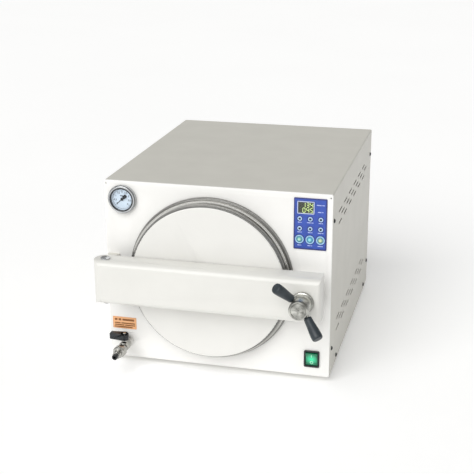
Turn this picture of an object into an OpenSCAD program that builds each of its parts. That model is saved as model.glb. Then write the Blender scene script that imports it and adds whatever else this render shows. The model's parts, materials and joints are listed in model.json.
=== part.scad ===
// Benchtop autoclave with a round door, a swinging clamp arm and a cylindrical pressure chamber.
// Millimetres. +Z is up, +Y points to the rear, +X to the right of someone facing the door.
// The origin is the middle of the bounding box, on the bench.

/* [Casing] */
// Width of the casing
case_w = 450; // [440:1:560]
// Height of the casing without its feet
case_h = 372; // [364:1:460]
// Depth of the casing, front panel to rear panel
case_d = 540; // [536:1:660]
// Sheet thickness of the wrap-round cover
cover_t = 1.2; // [0.8:0.1:2]
// Sheet thickness of the front, rear and base panels
panel_t = 1.5; // [1:0.1:2.5]
// Outside radius of the folded sheet edges
fold_r = 3; // [2.6:0.1:6]
// Depth of the panels' folded returns
return_d = 34; // [32:1:45]
// Height of the rubber feet
foot_h = 12; // [6:1:25]
// Radius of the rubber feet
foot_r = 15; // [10:1:25]
// Distance of the feet from the casing's sides
foot_in = 60; // [40:1:90]

/* [Vents] */
// Length of a vent slot
slot_l = 38; // [20:1:50]
// Height of a vent slot
slot_h = 4; // [2:0.5:6]
// Distance between slots in a row
slot_pitch = 64; // [60:1:90]
// Distance between the rows of a band
slot_rise = 12; // [9:1:16]
// Slots in a row
slots_in_row = 6; // [3:1:6]
// Distance of the first slot from the front panel
slot_start = 76; // [60:1:90]
// Top row of the upper band, below the casing's top
upper_band = 56; // [40:1:70]
// Top row of the lower band, above the casing's bottom
lower_band = 92; // [80:1:110]

/* [Chamber] */
// Inside diameter of the pressure chamber
chamber_d = 250; // [200:1:250]
// Inside depth of the chamber, from its mouth to the middle of its dished head
chamber_l = 514; // [440:1:514]
// Wall thickness of the chamber
chamber_t = 2.5; // [2:0.1:4]
// Thickness of the insulation round the chamber
jacket_t = 14; // [8:1:20]
// Space between the chamber and the insulation, for the band heater
heater_gap = 6; // [5:0.5:8]

/* [Door] */
// Width of the door's overlap on the chamber's rim
rim_w = 30; // [26:1:34]
// Thickness of the white door cover
door_cover_t = 6.5; // [5:0.5:8]
// Thickness of the steel door plate
door_plate_t = 8; // [6:0.5:10]
// Thickness of the flange round the chamber's mouth
flange_t = 8.2; // [6:0.2:12]
// Thickness of the collar that trims the hole in the front panel
collar_t = 8; // [5:0.5:12]

/* [Clamp arm] */
// Height of the arm
arm_h = 88; // [70:1:110]
// Depth of the arm, front to back
arm_d = 45; // [40:1:55]
// Sheet thickness of the arm's shell
arm_t = 2.5; // [2:0.1:4]
// Radius along the arm's front edges
arm_r = 14; // [6:1:18]
// Distance of the hinge pin from the casing's left side
hinge_in = 18; // [16:1:30]
// Distance of the clamp screw from the casing's right side
clamp_in = 39.5; // [36:0.5:50]
// Distance of the arm's free end from the casing's right side
arm_end_in = 7.5; // [4:0.5:12]
// Radius of the hinge pin
pin_r = 6; // [4:0.5:7]
// Radius of the clamp screw
screw_r = 8; // [6:0.5:9]
// Travel of the clamp screw for one turn
screw_pitch = 3; // [2:0.5:4]
// Radius of the knob's hub
hub_r = 18.5; // [14:0.5:20]
// Distance of the hub's face from the front panel
hub_reach = 122; // [110:1:130]
// Length of a grip
grip_l = 45; // [40:1:60]
// Angle of the upper grip, counter-clockwise from the right
grip_angle = 130.5; // [90:0.5:180]
// Forward tilt of the grips
grip_tilt = 33; // [15:1:45]

/* [Front fittings] */
// Distance of the gauge from the casing's left side
gauge_in = 37.5; // [34:0.5:45]
// Distance of the gauge from the casing's top
gauge_down = 36; // [34:0.5:45]
// Radius of the gauge's bezel
gauge_r = 28.5; // [24:0.5:31]
// Width of the control overlay
overlay_w = 63; // [60:1:70]
// Height of the control overlay
overlay_h = 101; // [98:1:110]
// Distance of the overlay from the casing's right side
overlay_in = 10.5; // [8:0.5:16]
// Distance of the overlay from the casing's top
overlay_down = 9; // [8:0.5:20]
// Radius of a push button
button_r = 8.3; // [7:0.1:9]
// Travel of a push button
button_travel = 0.8; // [0.4:0.1:1.2]
// Distance of the power switch from the casing's right side
switch_in = 34.2; // [24:0.1:50]
// Height of the power switch above the casing's bottom
switch_up = 36.5; // [26:0.5:60]
// Width of the label plate
label_w = 50; // [30:1:60]
// Height of the label plate
label_h = 25; // [15:1:30]
// Distance of the drain valve from the casing's left side
drain_in = 38; // [34:1:50]
// Height of the drain valve above the casing's bottom
drain_up = 34; // [28:1:44]
// Radius of the drain outlet's bore
drain_bore_r = 3; // [2:0.5:4]

/* [Trays] */
// Width of a tray
tray_w = 180; // [150:1:180]
// Length of a tray
tray_l = 400; // [300:1:400]
// Height of a tray's rim
tray_h = 20; // [12:1:22]
// Distance between trays
tray_pitch = 45; // [38:1:45]
// Sheet thickness of a tray
tray_t = 1; // [0.8:0.1:1.5]
// Travel of a tray along its runners
tray_travel = 40; // [10:1:40]

/* [Hidden] */
$fn = 72;

// Gap between pieces that only meet
gap = 0.2;
// Radial clearance of a running fit
run_fit = 0.05;
// Clearance between pieces that move past each other
clear = 0.5;
// Overlap that lets a cut run through a face
over = 1;

// How far the pieces reach in front of the front panel and behind the rear panel
grip_root_r = hub_r + 4.5;
grip_root_reach = hub_reach - 14;
grip_tip_r = 10.4;
front_reach = grip_root_reach + (grip_l - 1)*sin(grip_tilt) + (grip_tip_r - 0.9)*cos(grip_tilt);
rear_reach = 27;
front = (front_reach - rear_reach - case_d)/2;
rear = front + case_d;

// Places on the casing
left_side = -case_w/2;
right_side = case_w/2;
bottom = foot_h;
top = bottom + case_h;
lip = 4;
inner_half_w = case_w/2 - cover_t - gap;

// Hinge, clamp and door: the door hangs midway between the hinge pin and the clamp screw
hinge_x = left_side + hinge_in;
clamp_x = right_side - clamp_in;
door_x = (hinge_x + clamp_x)/2;
door_z = bottom + case_h/2;
chamber_r = chamber_d/2;
chamber_out_r = chamber_r + chamber_t;
jacket_in_r = chamber_out_r + heater_gap;
jacket_r = jacket_in_r + jacket_t;
cover_r = chamber_r + rim_w - 1.5;
plate_r = chamber_r + rim_w + 2;
flange_r = plate_r + 4;
collar_r = flange_r + 4;

// Distances in front of the front panel, from the collar out to the arm
flange_back = collar_t;
mouth = flange_back + flange_t;
plate_back = mouth + 0.8;
cover_back = plate_back + door_plate_t;
cover_face = cover_back + door_cover_t;
arm_back = cover_face + 1.5;
arm_face = arm_back + arm_d;
pin_y = front - arm_back - arm_d/2;
head_r = chamber_d;
head_rise = head_r - sqrt(head_r*head_r - chamber_r*chamber_r);
tube_l = chamber_l - head_rise;
chamber_end = front - mouth + chamber_l + chamber_t;

// Fittings on the front panel
gauge_x = left_side + gauge_in;
gauge_z = top - gauge_down;
overlay_x = right_side - overlay_in - overlay_w/2;
overlay_z = top - overlay_down - overlay_h/2;
overlay_t = 1.2;
display_w = 33;
display_h = 25;
display_x = -8.7;
display_z = 32;
lens_r = 4.4;
lens_rows = [9.8, -9.5];
key_pitch = 20;
button_z = -30.5;
board_gap = 8;
switch_x = right_side - switch_in;
switch_z = bottom + switch_up;
drain_x = left_side + drain_in;
drain_z = bottom + drain_up;
lever_y = front - 23;
boss_r = 8;
pipe_r = 4;
rear_port = 60;

module to_front() { rotate([90, 0, 0]) children(); }
module to_rear() { rotate([-90, 0, 0]) children(); }

// Places children drawn face up so that they face forward on the front panel
module on_front(x, z) { translate([x, front, z]) to_front() children(); }

// Places children drawn along +Z so that they start at the chamber's mouth and run to the rear
module on_chamber() { translate([door_x, front - mouth, door_z]) to_rear() children(); }

// Flat outline with round corners, centred
module rounded(w, h, r) {
    difference() {
        square([w, h], center = true);
        for (x = [-1, 1], y = [-1, 1])
            translate([x*(w/2 - r/2), y*(h/2 - r/2)])
                difference() {
                    square(r + 0.002, center = true);
                    translate([-x*r/2, -y*r/2]) circle(r);
                }
    }
}

module plate(w, h, t, r) { linear_extrude(t) rounded(w, h, r); }

module ring(r_out, r_in, h) {
    difference() {
        cylinder(h = h, r = r_out);
        translate([0, 0, -over]) cylinder(h = h + 2*over, r = r_in);
    }
}

// Slot with round ends along X, centred
module slot(l, h) {
    square([l - h, h], center = true);
    for (x = [-1, 1]) translate([x*(l - h)/2, 0]) circle(h/2);
}

// Straight lengths of pipe through the points, with a larger fitting at each corner
module pipe_run(points, r) {
    for (i = [0 : len(points) - 2]) {
        a = points[i];
        b = points[i + 1];
        d = b - a;
        l = norm(d);
        translate(a)
            rotate([0, acos(d[2]/l), atan2(d[1], d[0])])
                cylinder(h = l, r = r);
        if (i > 0) translate(a) sphere(r*1.35);
    }
}

// Pan-head screw along +Z, seated on z = 0, with its shank below
module pan_screw(head_r, shank_r, shank_l) {
    difference() {
        union() {
            cylinder(h = 1, r = head_r);
            translate([0, 0, 1])
                intersection() {
                    translate([0, 0, -head_r]) sphere(head_r*1.414);
                    cylinder(h = head_r, r = head_r);
                }
            translate([0, 0, -shank_l]) cylinder(h = shank_l + 0.5, r = shank_r);
        }
        for (a = [0, 90])
            rotate([0, 0, a])
                translate([-head_r*0.55, -0.5, 1.6]) cube([head_r*1.1, 1, head_r]);
    }
}

/* Casing */

// Outline of the cover across the casing: two sides and the top, open below
module cover_outline(inset, r) {
    intersection() {
        translate([0, (case_h - 20)/2]) rounded(case_w - 2*inset, case_h + 20 - 2*inset, r);
        translate([-case_w/2, -over*(inset > 0 ? 1 : 0)]) square([case_w, case_h + 2*over]);
    }
}

// Centres of the screws through each side: [distance behind the front panel, height]
side_screws = [
    [18, case_h - upper_band],
    [24, 52],
    [case_d - 18, case_h - upper_band + 2],
    [case_d - 18, 57],
    [83, 11],
    [case_d - 62, 12]
];
rear_screw_z = 11;
rear_screw_x = [-0.4, -0.13, 0.13, 0.4];
side_head_r = 4.3;
side_shank_r = 1.9;
side_shank_l = 7.5;

module side_holes(r) {
    for (s = side_screws)
        translate([-case_w, front + s[0], bottom + s[1]])
            rotate([0, 90, 0]) cylinder(h = 2*case_w, r = r);
}

module vent_band(z) {
    for (row = [0 : 2], i = [0 : slots_in_row - 1]) {
        shift = row == 1 ? slot_pitch/2 : 0;
        y = front + slot_start + slot_l/2 + i*slot_pitch + shift;
        translate([-case_w, y, z - row*slot_rise])
            rotate([90, 0, 90]) linear_extrude(2*case_w) slot(slot_l, slot_h);
    }
}

module outer_cover() {
    l = case_d - 2*lip - 2*gap;
    color("#c4c2ba")
    difference() {
        translate([0, rear - lip - gap, bottom]) to_front() linear_extrude(l)
            difference() {
                cover_outline(0, fold_r);
                cover_outline(cover_t, fold_r - cover_t);
            }
        vent_band(bottom + case_h - upper_band);
        vent_band(bottom + lower_band);
        side_holes(side_shank_r + gap);
    }
}

// Sheet pan seen from outside: face, narrow lip and folded returns on the top and sides
module panel_pan() {
    return_w = 2*inner_half_w;
    return_h = case_h - cover_t - gap;
    plate(case_w, case_h, panel_t, fold_r);
    difference() {
        plate(case_w, case_h, lip, fold_r);
        translate([0, -0.5, panel_t])
            plate(case_w - 2*lip, case_h - 2*lip - 1, lip, fold_r);
    }
    translate([0, 0, panel_t - 0.5])
        difference() {
            translate([0, -(case_h - return_h)/2]) plate(return_w, return_h, return_d, fold_r - cover_t);
            translate([0, -(case_h - return_h)/2 - return_h/2, -over])
                plate(return_w - 2*panel_t, 2*return_h - 2*panel_t, return_d + 2*over, 1);
            translate([-case_w/2, -case_h/2 - over, 0.5])
                cube([case_w, over + lip + gap, return_d + over]);
        }
}

module front_panel() {
    color("#fbfbf8")
    difference() {
        translate([0, front, door_z]) to_rear() rotate([0, 0, 180]) mirror([1, 0, 0]) panel_pan();
        // Relief holes at the upper corners of the folds
        for (x = [-1, 1]) on_front(x*(case_w/2 - lip), top - 7) cylinder(h = 10, r = 1.2, center = true);
        on_front(door_x, door_z) cylinder(h = 2*return_d, r = chamber_out_r + 2, center = true);
        on_front(gauge_x, gauge_z) cylinder(h = 8, r = gauge_r - 3, center = true);
        on_front(overlay_x, overlay_z) translate([0, 0, -4]) plate(58, 91, 8, 2);
        on_front(switch_x, switch_z) cube([27.4, 32.4, 8], center = true);
        on_front(drain_x, drain_z) cylinder(h = 8, r = 6.2, center = true);
        side_holes(side_shank_r + gap);
    }
}

inlet_x = -case_w/2 + 70;
inlet_z = bottom + 60;
fuse_x = [inlet_x + 50, inlet_x + 76];
fuse_r = 6;
rear_vent_z = top - 40;
rear_vent_n = 11;
rear_vent_pitch = 22;

module rear_panel() {
    color("#c4c2ba")
    difference() {
        translate([0, rear, door_z]) to_front() panel_pan();
        translate([0, rear, 0]) {
            translate([inlet_x, 5, inlet_z]) to_front() plate(28.4, 20.4, 10, 2);
            for (x = fuse_x) translate([x, 5, inlet_z]) to_front() cylinder(h = 10, r = fuse_r + gap);
            translate([door_x, 5, door_z]) to_front() cylinder(h = 10, r = 14);
            for (x = rear_screw_x)
                translate([x*case_w, 5, bottom + rear_screw_z]) to_front() cylinder(h = 10, r = side_shank_r + gap);
            for (i = [0 : rear_vent_n - 1])
                translate([(i - (rear_vent_n - 1)/2)*rear_vent_pitch, 5, rear_vent_z])
                    to_front() linear_extrude(10) rotate(90) slot(slot_l, slot_h);
        }
        side_holes(side_shank_r + gap);
    }
}

base_half_w = inner_half_w - panel_t - 0.3;
base_flange_h = 22;

module base_plate() {
    l = case_d - 2*lip - 2*gap;
    color("#b9b7b0")
    difference() {
        translate([-base_half_w, front + lip + gap, bottom])
            difference() {
                cube([2*base_half_w, l, base_flange_h]);
                translate([panel_t, -over, panel_t])
                    cube([2*base_half_w - 2*panel_t, l - panel_t + over, base_flange_h]);
            }
        side_holes(side_shank_r + gap);
        for (x = rear_screw_x)
            translate([x*case_w, rear + 5, bottom + rear_screw_z]) to_front() cylinder(h = 12, r = side_shank_r + gap);
        for (x = [-90, -30, 30, 90], y = [-60, 0, 60])
            translate([door_x + x, front + case_d/2 + y, bottom - over])
                linear_extrude(5) slot(slot_l, slot_h);
    }
}

module feet() {
    color("#2b2d2f")
    for (x = [-1, 1], y = [front + foot_in, rear - foot_in])
        translate([x*(case_w/2 - foot_in), y, 0])
            difference() {
                cylinder(h = foot_h, r1 = foot_r - 2, r2 = foot_r);
                translate([0, 0, -over]) cylinder(h = foot_h/2 + over, r = 5);
            }
}

module case_screws() {
    color("#d6d6d2") {
        for (s = side_screws, side = [-1, 1])
            translate([side*case_w/2, front + s[0], bottom + s[1]])
                rotate([0, side*90, 0]) pan_screw(side_head_r, side_shank_r, side_shank_l);
        for (x = rear_screw_x)
            translate([x*case_w, rear, bottom + rear_screw_z])
                to_rear() pan_screw(side_head_r, side_shank_r, side_shank_l);
    }
}

/* Pressure chamber */

// Direction and distance of the ports: [distance behind the mouth, angle from the top towards the left]
gauge_port = [200, atan2(door_x - gauge_x, gauge_z - door_z)];
exhaust_port = [430, 45];
drain_port = [430, 150];
port_l = jacket_r + 8 - chamber_out_r;

// Places children drawn along +Z so that they point out of the chamber's side at a port
module at_port(port, r) {
    translate([door_x, front - mouth + port[0], door_z])
        rotate([0, -port[1], 0]) translate([0, 0, r]) children();
}

function port_point(port, r) =
    [door_x - r*sin(port[1]), front - mouth + port[0], door_z + r*cos(port[1])];

probe_r = 3;
probe_places = [[-40, 60], [40, 60]];
probe_l = 120;
safety_boss_r = 12;

module chamber() {
    color("#c9cacb")
    difference() {
        union() {
            on_chamber() ring(chamber_out_r, chamber_r, tube_l);
            for (p = [gauge_port, exhaust_port, drain_port])
                at_port(p, chamber_out_r - 1) cylinder(h = port_l + 1, r = boss_r);
        }
        for (p = [gauge_port, exhaust_port, drain_port])
            at_port(p, chamber_r - 5) cylinder(h = port_l + 20, r = 2.5);
    }
}

// Dished head welded to the rear of the chamber, with a boss for the safety valve
module chamber_head() {
    color("#c4c5c6")
    on_chamber()
        difference() {
            union() {
                rotate_extrude()
                    translate([0, tube_l + head_rise - head_r])
                        intersection() {
                            difference() {
                                circle(head_r + chamber_t, $fn = 180);
                                circle(head_r, $fn = 180);
                            }
                            translate([0, head_r - head_rise])
                                square([chamber_out_r, head_rise + 2*chamber_t]);
                        }
                translate([0, 0, chamber_l + 0.5]) cylinder(h = 9, r = safety_boss_r);
            }
            for (p = probe_places)
                translate([p[0], -p[1], tube_l]) cylinder(h = 60, r = probe_r);
        }
}

module chamber_flange() {
    color("#bfc0c0")
    on_front(door_x, door_z)
        translate([0, 0, flange_back])
            ring(flange_r, chamber_out_r, flange_t);
}

module panel_collar() {
    color("#a9a9a6")
    on_front(door_x, door_z)
        difference() {
            union() {
                ring(collar_r, chamber_out_r + 2, collar_t - 3);
                ring(collar_r - 2, chamber_out_r + 2, collar_t - gap);
            }
            translate([0, 0, -over]) ring(collar_r - 6, chamber_out_r + 5, over + 2);
        }
}

module insulation_jacket() {
    start = mouth + return_d;
    l = tube_l - start;
    color("#d8cfa8")
    difference() {
        on_chamber() translate([0, 0, start]) ring(jacket_r, jacket_in_r, l);
        for (p = [gauge_port, exhaust_port, drain_port])
            at_port(p, chamber_out_r) cylinder(h = port_l + 20, r = boss_r + clear);
    }
}

module heater_band() {
    band_start = 230;
    band_l = 180;
    color("#8a8d90")
    difference() {
        on_chamber() translate([0, 0, band_start]) ring(chamber_out_r + 4, chamber_out_r + gap, band_l);
        // Clamping gap along the top of the band
        translate([door_x - 6, front, door_z]) cube([12, case_d, case_h/2]);
    }
}

module chamber_cradles() {
    cradle_w = 1.5*chamber_r;
    color("#b9b7b0")
    for (y = [60, case_d - 150])
        translate([door_x, front + y, 0])
            difference() {
                translate([-cradle_w/2, 0, bottom + panel_t + gap])
                    cube([cradle_w, 4, case_h/2 - jacket_r + 30]);
                translate([0, -over, door_z]) to_rear() cylinder(h = 10, r = jacket_r + gap);
                for (x = [-1, 1])
                    translate([x*cradle_w*0.4, -over, bottom + 18]) to_rear() cylinder(h = 10, r = 6);
            }
}

/* Trays and their rack */

rack_start = 30;
tray_start = rack_start + 6;
rack_l = tray_l + tray_travel + 8;
rack_half_w = tray_w/2 + 1.5;
rack_t = 1.5;
tray_floor = [-62, -62 + tray_pitch, -62 + 2*tray_pitch];

module tray_rack() {
    low = sqrt(pow(chamber_r - gap, 2) - pow(rack_half_w + rack_t, 2));
    high = tray_floor[2] + tray_h + 8;
    color("#c6c8ca")
    translate([door_x, front - mouth + rack_start, door_z]) {
        for (side = [-1, 1]) {
            difference() {
                translate([side > 0 ? rack_half_w : -rack_half_w - rack_t, 0, -low + gap])
                    cube([rack_t, rack_l, low + high]);
                for (z = tray_floor, i = [0 : 2])
                    translate([side*rack_half_w - 5, 15 + i*(rack_l - 25)/3, z + 6])
                        cube([10, (rack_l - 25)/3 - 15, tray_pitch - 18]);
            }
            for (z = tray_floor)
                translate([side > 0 ? rack_half_w - 7 : -rack_half_w, 0, z - 1.7])
                    cube([7.2, rack_l, 1.5]);
        }
        for (y = [10, rack_l - 20])
            translate([-rack_half_w + gap/2, y, -low + 1]) cube([2*rack_half_w - gap, 8, 1.5]);
    }
}

// Perforated tray with a raised rim
module tray(level) {
    color("#cdd0d2")
    translate([door_x, front - mouth + tray_start + tray_l/2, door_z + tray_floor[level]])
        difference() {
            plate(tray_w, tray_l, tray_h, 8);
            translate([0, 0, tray_t]) plate(tray_w - 2*tray_t, tray_l - 2*tray_t, tray_h, 7);
            for (x = [-2 : 2], y = [-3 : 3])
                translate([x*tray_w/6, y*tray_l/8, -over])
                    linear_extrude(tray_t + 2*over) rotate(90) slot(28, 6);
        }
}
module tray_low() { tray(0); }
module tray_middle() { tray(1); }
module tray_high() { tray(2); }

module chamber_probes() {
    color("#b3b6b8")
    for (p = probe_places)
        on_chamber() translate([p[0], -p[1], 0]) {
            translate([0, 0, chamber_l - 30 - probe_l/2]) cylinder(h = probe_l, r = probe_r - gap/2);
            translate([0, 0, chamber_l + 6]) cylinder(h = 8, r = 6, $fn = 6);
        }
}

/* Water and steam */

tank_w = 110;
tank_h = 42;
tank_l = 280;
tank_x = left_side + 12;
tank_y = front + 70;
tank_z = bottom + panel_t + gap;
tank_ports = [tank_l - 25, tank_l - 60];
valve_x = left_side + 32;

module water_tank() {
    color("#e8e8e4")
    translate([tank_x + tank_w/2, tank_y, tank_z + tank_h/2]) {
        to_rear()
            difference() {
                plate(tank_w, tank_h, tank_l, 8);
                translate([0, 0, 2]) plate(tank_w - 4, tank_h - 4, tank_l - 4, 6);
                // Pipe connections in the top
                for (y = tank_ports)
                    translate([valve_x - tank_x - tank_w/2, -tank_h/2 - over, y])
                        rotate([-90, 0, 0]) cylinder(h = 6, r = pipe_r - 1);
            }
    }
}

// Solenoid valve body with its coil above; the flow runs along Y
module solenoid_valve() {
    translate([-14, -20, -12]) cube([28, 40, 20]);
    translate([0, 0, 7]) cylinder(h = 6, r = 9);
    difference() {
        translate([-16, -14, 12]) cube([32, 28, 34]);
        translate([10, -9, 24]) cube([8, 18, 14]);
    }
}

solenoid_places = [
    [valve_x, front + 400, bottom + 60],
    [valve_x, front + 400, bottom + 130]
];

module solenoid_valves() {
    color("#4a4f55") for (p = solenoid_places) translate(p) solenoid_valve();
}

pipe_end = 20 + gap;

module copper_pipes() {
    drain_end = port_point(drain_port, jacket_r + 8 + gap);
    exhaust_end = port_point(exhaust_port, jacket_r + 8 + gap);
    gauge_end = port_point(gauge_port, jacket_r + 8 + gap);
    low = solenoid_places[0];
    high = solenoid_places[1];
    drain_lead = port_point(drain_port, jacket_r + 18);
    exhaust_lead = port_point(exhaust_port, jacket_r + 18);
    color("#b87348") {
        // Gauge line
        pipe_run([
            gauge_end,
            [gauge_x, gauge_end[1], gauge_z],
            [gauge_x, front + 42, gauge_z]
        ], 3);
        // Chamber drain to the lower valve, and on to the tank
        pipe_run([
            drain_end,
            drain_lead,
            [drain_lead[0], drain_lead[1] + 25, drain_lead[2]],
            [low[0], drain_lead[1] + 25, drain_lead[2]],
            [low[0], drain_lead[1] + 25, low[2]],
            [low[0], low[1] + pipe_end, low[2]]
        ], pipe_r);
        pipe_run([
            [low[0], low[1] - pipe_end, low[2]],
            [low[0], tank_y + tank_ports[0], low[2]],
            [low[0], tank_y + tank_ports[0], tank_z + tank_h + gap]
        ], pipe_r);
        // Steam outlet to the upper valve
        pipe_run([
            exhaust_end,
            exhaust_lead,
            [exhaust_lead[0], exhaust_lead[1] + 40, exhaust_lead[2]],
            [high[0], exhaust_lead[1] + 40, exhaust_lead[2]],
            [high[0], exhaust_lead[1] + 40, high[2]],
            [high[0], high[1] + pipe_end, high[2]]
        ], pipe_r);
        pipe_run([
            [high[0], high[1] - pipe_end, high[2]],
            [high[0], tank_y + tank_ports[1], high[2]],
            [high[0], tank_y + tank_ports[1], tank_z + tank_h + gap]
        ], pipe_r);
        // Tank to the drain valve on the front panel
        pipe_run([
            [drain_x, tank_y - gap, drain_z - 10],
            [drain_x, front + 40, drain_z - 10],
            [drain_x, front + 40, drain_z],
            [drain_x, front + 22, drain_z]
        ], pipe_r);
    }
}

safety_y = front - mouth + chamber_l + 9.5 + gap;
safety_top = rear + 6;

module safety_valve() {
    color("#c9a74e")
    translate([door_x, safety_y, door_z]) to_rear()
        difference() {
            union() {
                cylinder(h = 10, r = 12, $fn = 6);
                cylinder(h = safety_top - safety_y, r = 9.5);
                translate([0, 0, rear - safety_y + 1]) cylinder(h = safety_top - rear - 1, r = 11.5);
            }
            translate([0, 0, 14]) cylinder(h = safety_top - safety_y, r = 3 + run_fit);
        }
}

// Stem and pull ring of the safety valve
module safety_ring() {
    stem_end = safety_top + 6;
    color("#cfd2d4")
    translate([door_x, 0, door_z]) {
        translate([0, safety_y + 15, 0]) to_rear() cylinder(h = stem_end - safety_y - 15, r = 3);
        translate([0, safety_top + gap + 0.2, 0]) to_rear() cylinder(h = stem_end - safety_top, r = 4.5);
        translate([0, stem_end + 6.5, 0])
            rotate([0, 90, 0]) rotate_extrude() translate([6.5, 0]) circle(1.3, $fn = 24);
    }
}

/* Pressure gauge */

gauge_bore = gauge_r - 5.7;

module gauge_case() {
    color("#b4b6b8")
    on_front(gauge_x, gauge_z)
        difference() {
            union() {
                translate([0, 0, -28]) cylinder(h = 30, r = gauge_r - 3.5);
                cylinder(h = 6, r = gauge_r);
                translate([0, 0, 6]) cylinder(h = 3, r1 = gauge_r, r2 = gauge_r - 2);
                translate([0, 0, -41.5]) cylinder(h = 14, r = 7, $fn = 6);
            }
            translate([0, 0, -24]) cylinder(h = 31.4, r = gauge_bore);
            translate([0, 0, 5]) cylinder(h = 5, r = gauge_bore - 1.4);
        }
}

module gauge_dial() {
    color("#f6f8fa")
    on_front(gauge_x, gauge_z)
        difference() {
            union() {
                translate([0, 0, 1.6]) cylinder(h = 0.8, r = gauge_bore - gap);
                translate([0, 0, -24 + gap]) ring(5, 2, 26);
            }
            translate([0, 0, 0]) cylinder(h = 5, r = 1.3);
        }
}

module gauge_glass() {
    color("#dfe9ee")
    on_front(gauge_x, gauge_z) translate([0, 0, 5.9]) cylinder(h = 1.3, r = gauge_bore - gap);
}

// The pointer rests at the start of the scale, lower left
pointer_rest = 222;

module gauge_pointer() {
    color("#1b1d20")
    on_front(gauge_x, gauge_z) {
        translate([0, 0, 3.2]) linear_extrude(0.5) rotate(pointer_rest) {
            polygon([[-8, -1.5], [0, -0.9], [16.5, -0.3], [16.5, 0.3], [0, 0.9], [-8, 1.5]]);
            circle(2.2);
        }
        translate([0, 0, 0.4]) cylinder(h = 4.2, r = 1.2 - run_fit);
    }
}

/* Controls */

module key_places(rows) {
    for (x = [-1, 0, 1], y = rows) translate([x*key_pitch, y]) children();
}

module control_overlay() {
    color("#3e4eaa")
    on_front(overlay_x, overlay_z)
        translate([0, 0, gap])
            linear_extrude(overlay_t)
                difference() {
                    rounded(overlay_w, overlay_h, 2);
                    translate([display_x, display_z]) square([display_w, display_h], center = true);
                    key_places(lens_rows) circle(lens_r + 0.1);
                    key_places([button_z]) circle(button_r + 0.35);
                }
}

// Light frame with a dark window; its skirt reaches back towards the board
module display_window() {
    color("#30343a")
    on_front(overlay_x, overlay_z)
        translate([display_x, display_z, 0]) {
            translate([0, 0, -2]) linear_extrude(2 + overlay_t + 0.2)
                square([display_w - 0.2, display_h - 0.2], center = true);
            translate([0, 0, overlay_t + 0.2 - 0.1])
                linear_extrude(0.6)
                    difference() {
                        square([display_w - 0.2, display_h - 0.2], center = true);
                        square([display_w - 3.4, display_h - 3.4], center = true);
                    }
        }
}

module indicator_lenses() {
    color("#cfe3f4")
    on_front(overlay_x, overlay_z)
        key_places(lens_rows)
            difference() {
                union() {
                    translate([0, 0, -3]) cylinder(h = 3 + overlay_t + 0.6, r = lens_r);
                    translate([0, 0, -5]) cylinder(h = 3, r = 2.4);
                }
                translate([0, 0, overlay_t + 0.2]) cylinder(h = 2, r = 2.2);
            }
}

module push_button(x) {
    color("#a9dcec")
    on_front(overlay_x, overlay_z)
        translate([x*key_pitch, button_z, 0]) {
            difference() {
                translate([0, 0, 0.5]) cylinder(h = 2.4, r = button_r);
                translate([0, 0, 2.6]) ring(button_r - 1.4, button_r - 3.4, 1);
            }
            translate([0, 0, -board_gap + 5.2 + button_travel]) cylinder(h = 7, r = 2.6);
        }
}
module button_left() { push_button(-1); }
module button_middle() { push_button(0); }
module button_right() { push_button(1); }

module control_board() {
    switch_top = -board_gap + 4.8;
    color("#2f6b3f")
    on_front(overlay_x, overlay_z) {
        translate([0, 0, -board_gap - 1.6]) plate(56, 98, 1.6, 2);
        for (x = [-1, 0, 1]) translate([x*key_pitch, button_z, -board_gap - 0.1]) {
            translate([-3, -3, 0]) cube([6, 6, 3.6]);
            cylinder(h = switch_top + board_gap + 0.1, r = 1.75);
        }
        translate([display_x - 15, display_z - 10.5, -board_gap - 0.1]) cube([30, 21, 5.8]);
        for (x = [-22, 22], y = [-47, 47])
            translate([x, y, -board_gap - 0.1]) cylinder(h = board_gap - panel_t - gap, r = 1.4);
        translate([-20, -36, -board_gap - 16]) cube([16, 20, 14.5]);
        translate([2, -36, -board_gap - 16]) cube([16, 20, 14.5]);
        translate([-18, 0, -board_gap - 12]) cube([36, 12, 10.5]);
    }
}

switch_w = 30.5;
switch_h = 35;
rocker_w = 23.5;
rocker_tilt = 8;

module switch_bezel() {
    color("#17191b")
    on_front(switch_x, switch_z)
        difference() {
            union() {
                translate([0, 0, gap]) plate(switch_w, switch_h, 3, 2.5);
                translate([0, 0, -13.5]) cube([27, 32, 29], center = true);
                for (x = [-8, 0, 8]) translate([x - 0.4, -4, -37]) cube([0.8, 8, 10]);
            }
            translate([0, 0, 4]) cube([rocker_w + 1, 29, 40], center = true);
        }
}

// Rocker tilted to its ON side; it turns about a cross pin behind its face
module switch_rocker() {
    color("#1f9a52")
    on_front(switch_x, switch_z)
        translate([0, 0, -4]) rotate([rocker_tilt, 0, 0])
            rotate([0, 90, 0]) translate([0, 0, -rocker_w/2])
                linear_extrude(rocker_w)
                    difference() {
                        union() {
                            circle(11);
                            translate([-6.8, -13]) square([6.8, 26]);
                        }
                        translate([-6.8 - 60, 0]) circle(60.4, $fn = 180);
                    }
}

module label_plate() {
    color("#f0a868")
    on_front(left_side + 6 + label_w/2, bottom + 60.5 + label_h/2)
        translate([0, 0, gap/2]) plate(label_w, label_h, 0.6, 1.5);
}

/* Drain valve */

module drain_tailpiece() {
    color("#d8d8d4")
    on_front(drain_x, drain_z) {
        translate([0, 0, gap]) cylinder(h = 3, r = 11.5);
        translate([0, 0, 3]) cylinder(h = 9 - gap, r = 9);
        translate([0, 0, -20]) ring(6, 2.5, 21 + gap);
        translate([0, 0, -panel_t - 5 - gap]) cylinder(h = 5, r = 10, $fn = 6);
    }
}

ball_r = 6.5;

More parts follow.
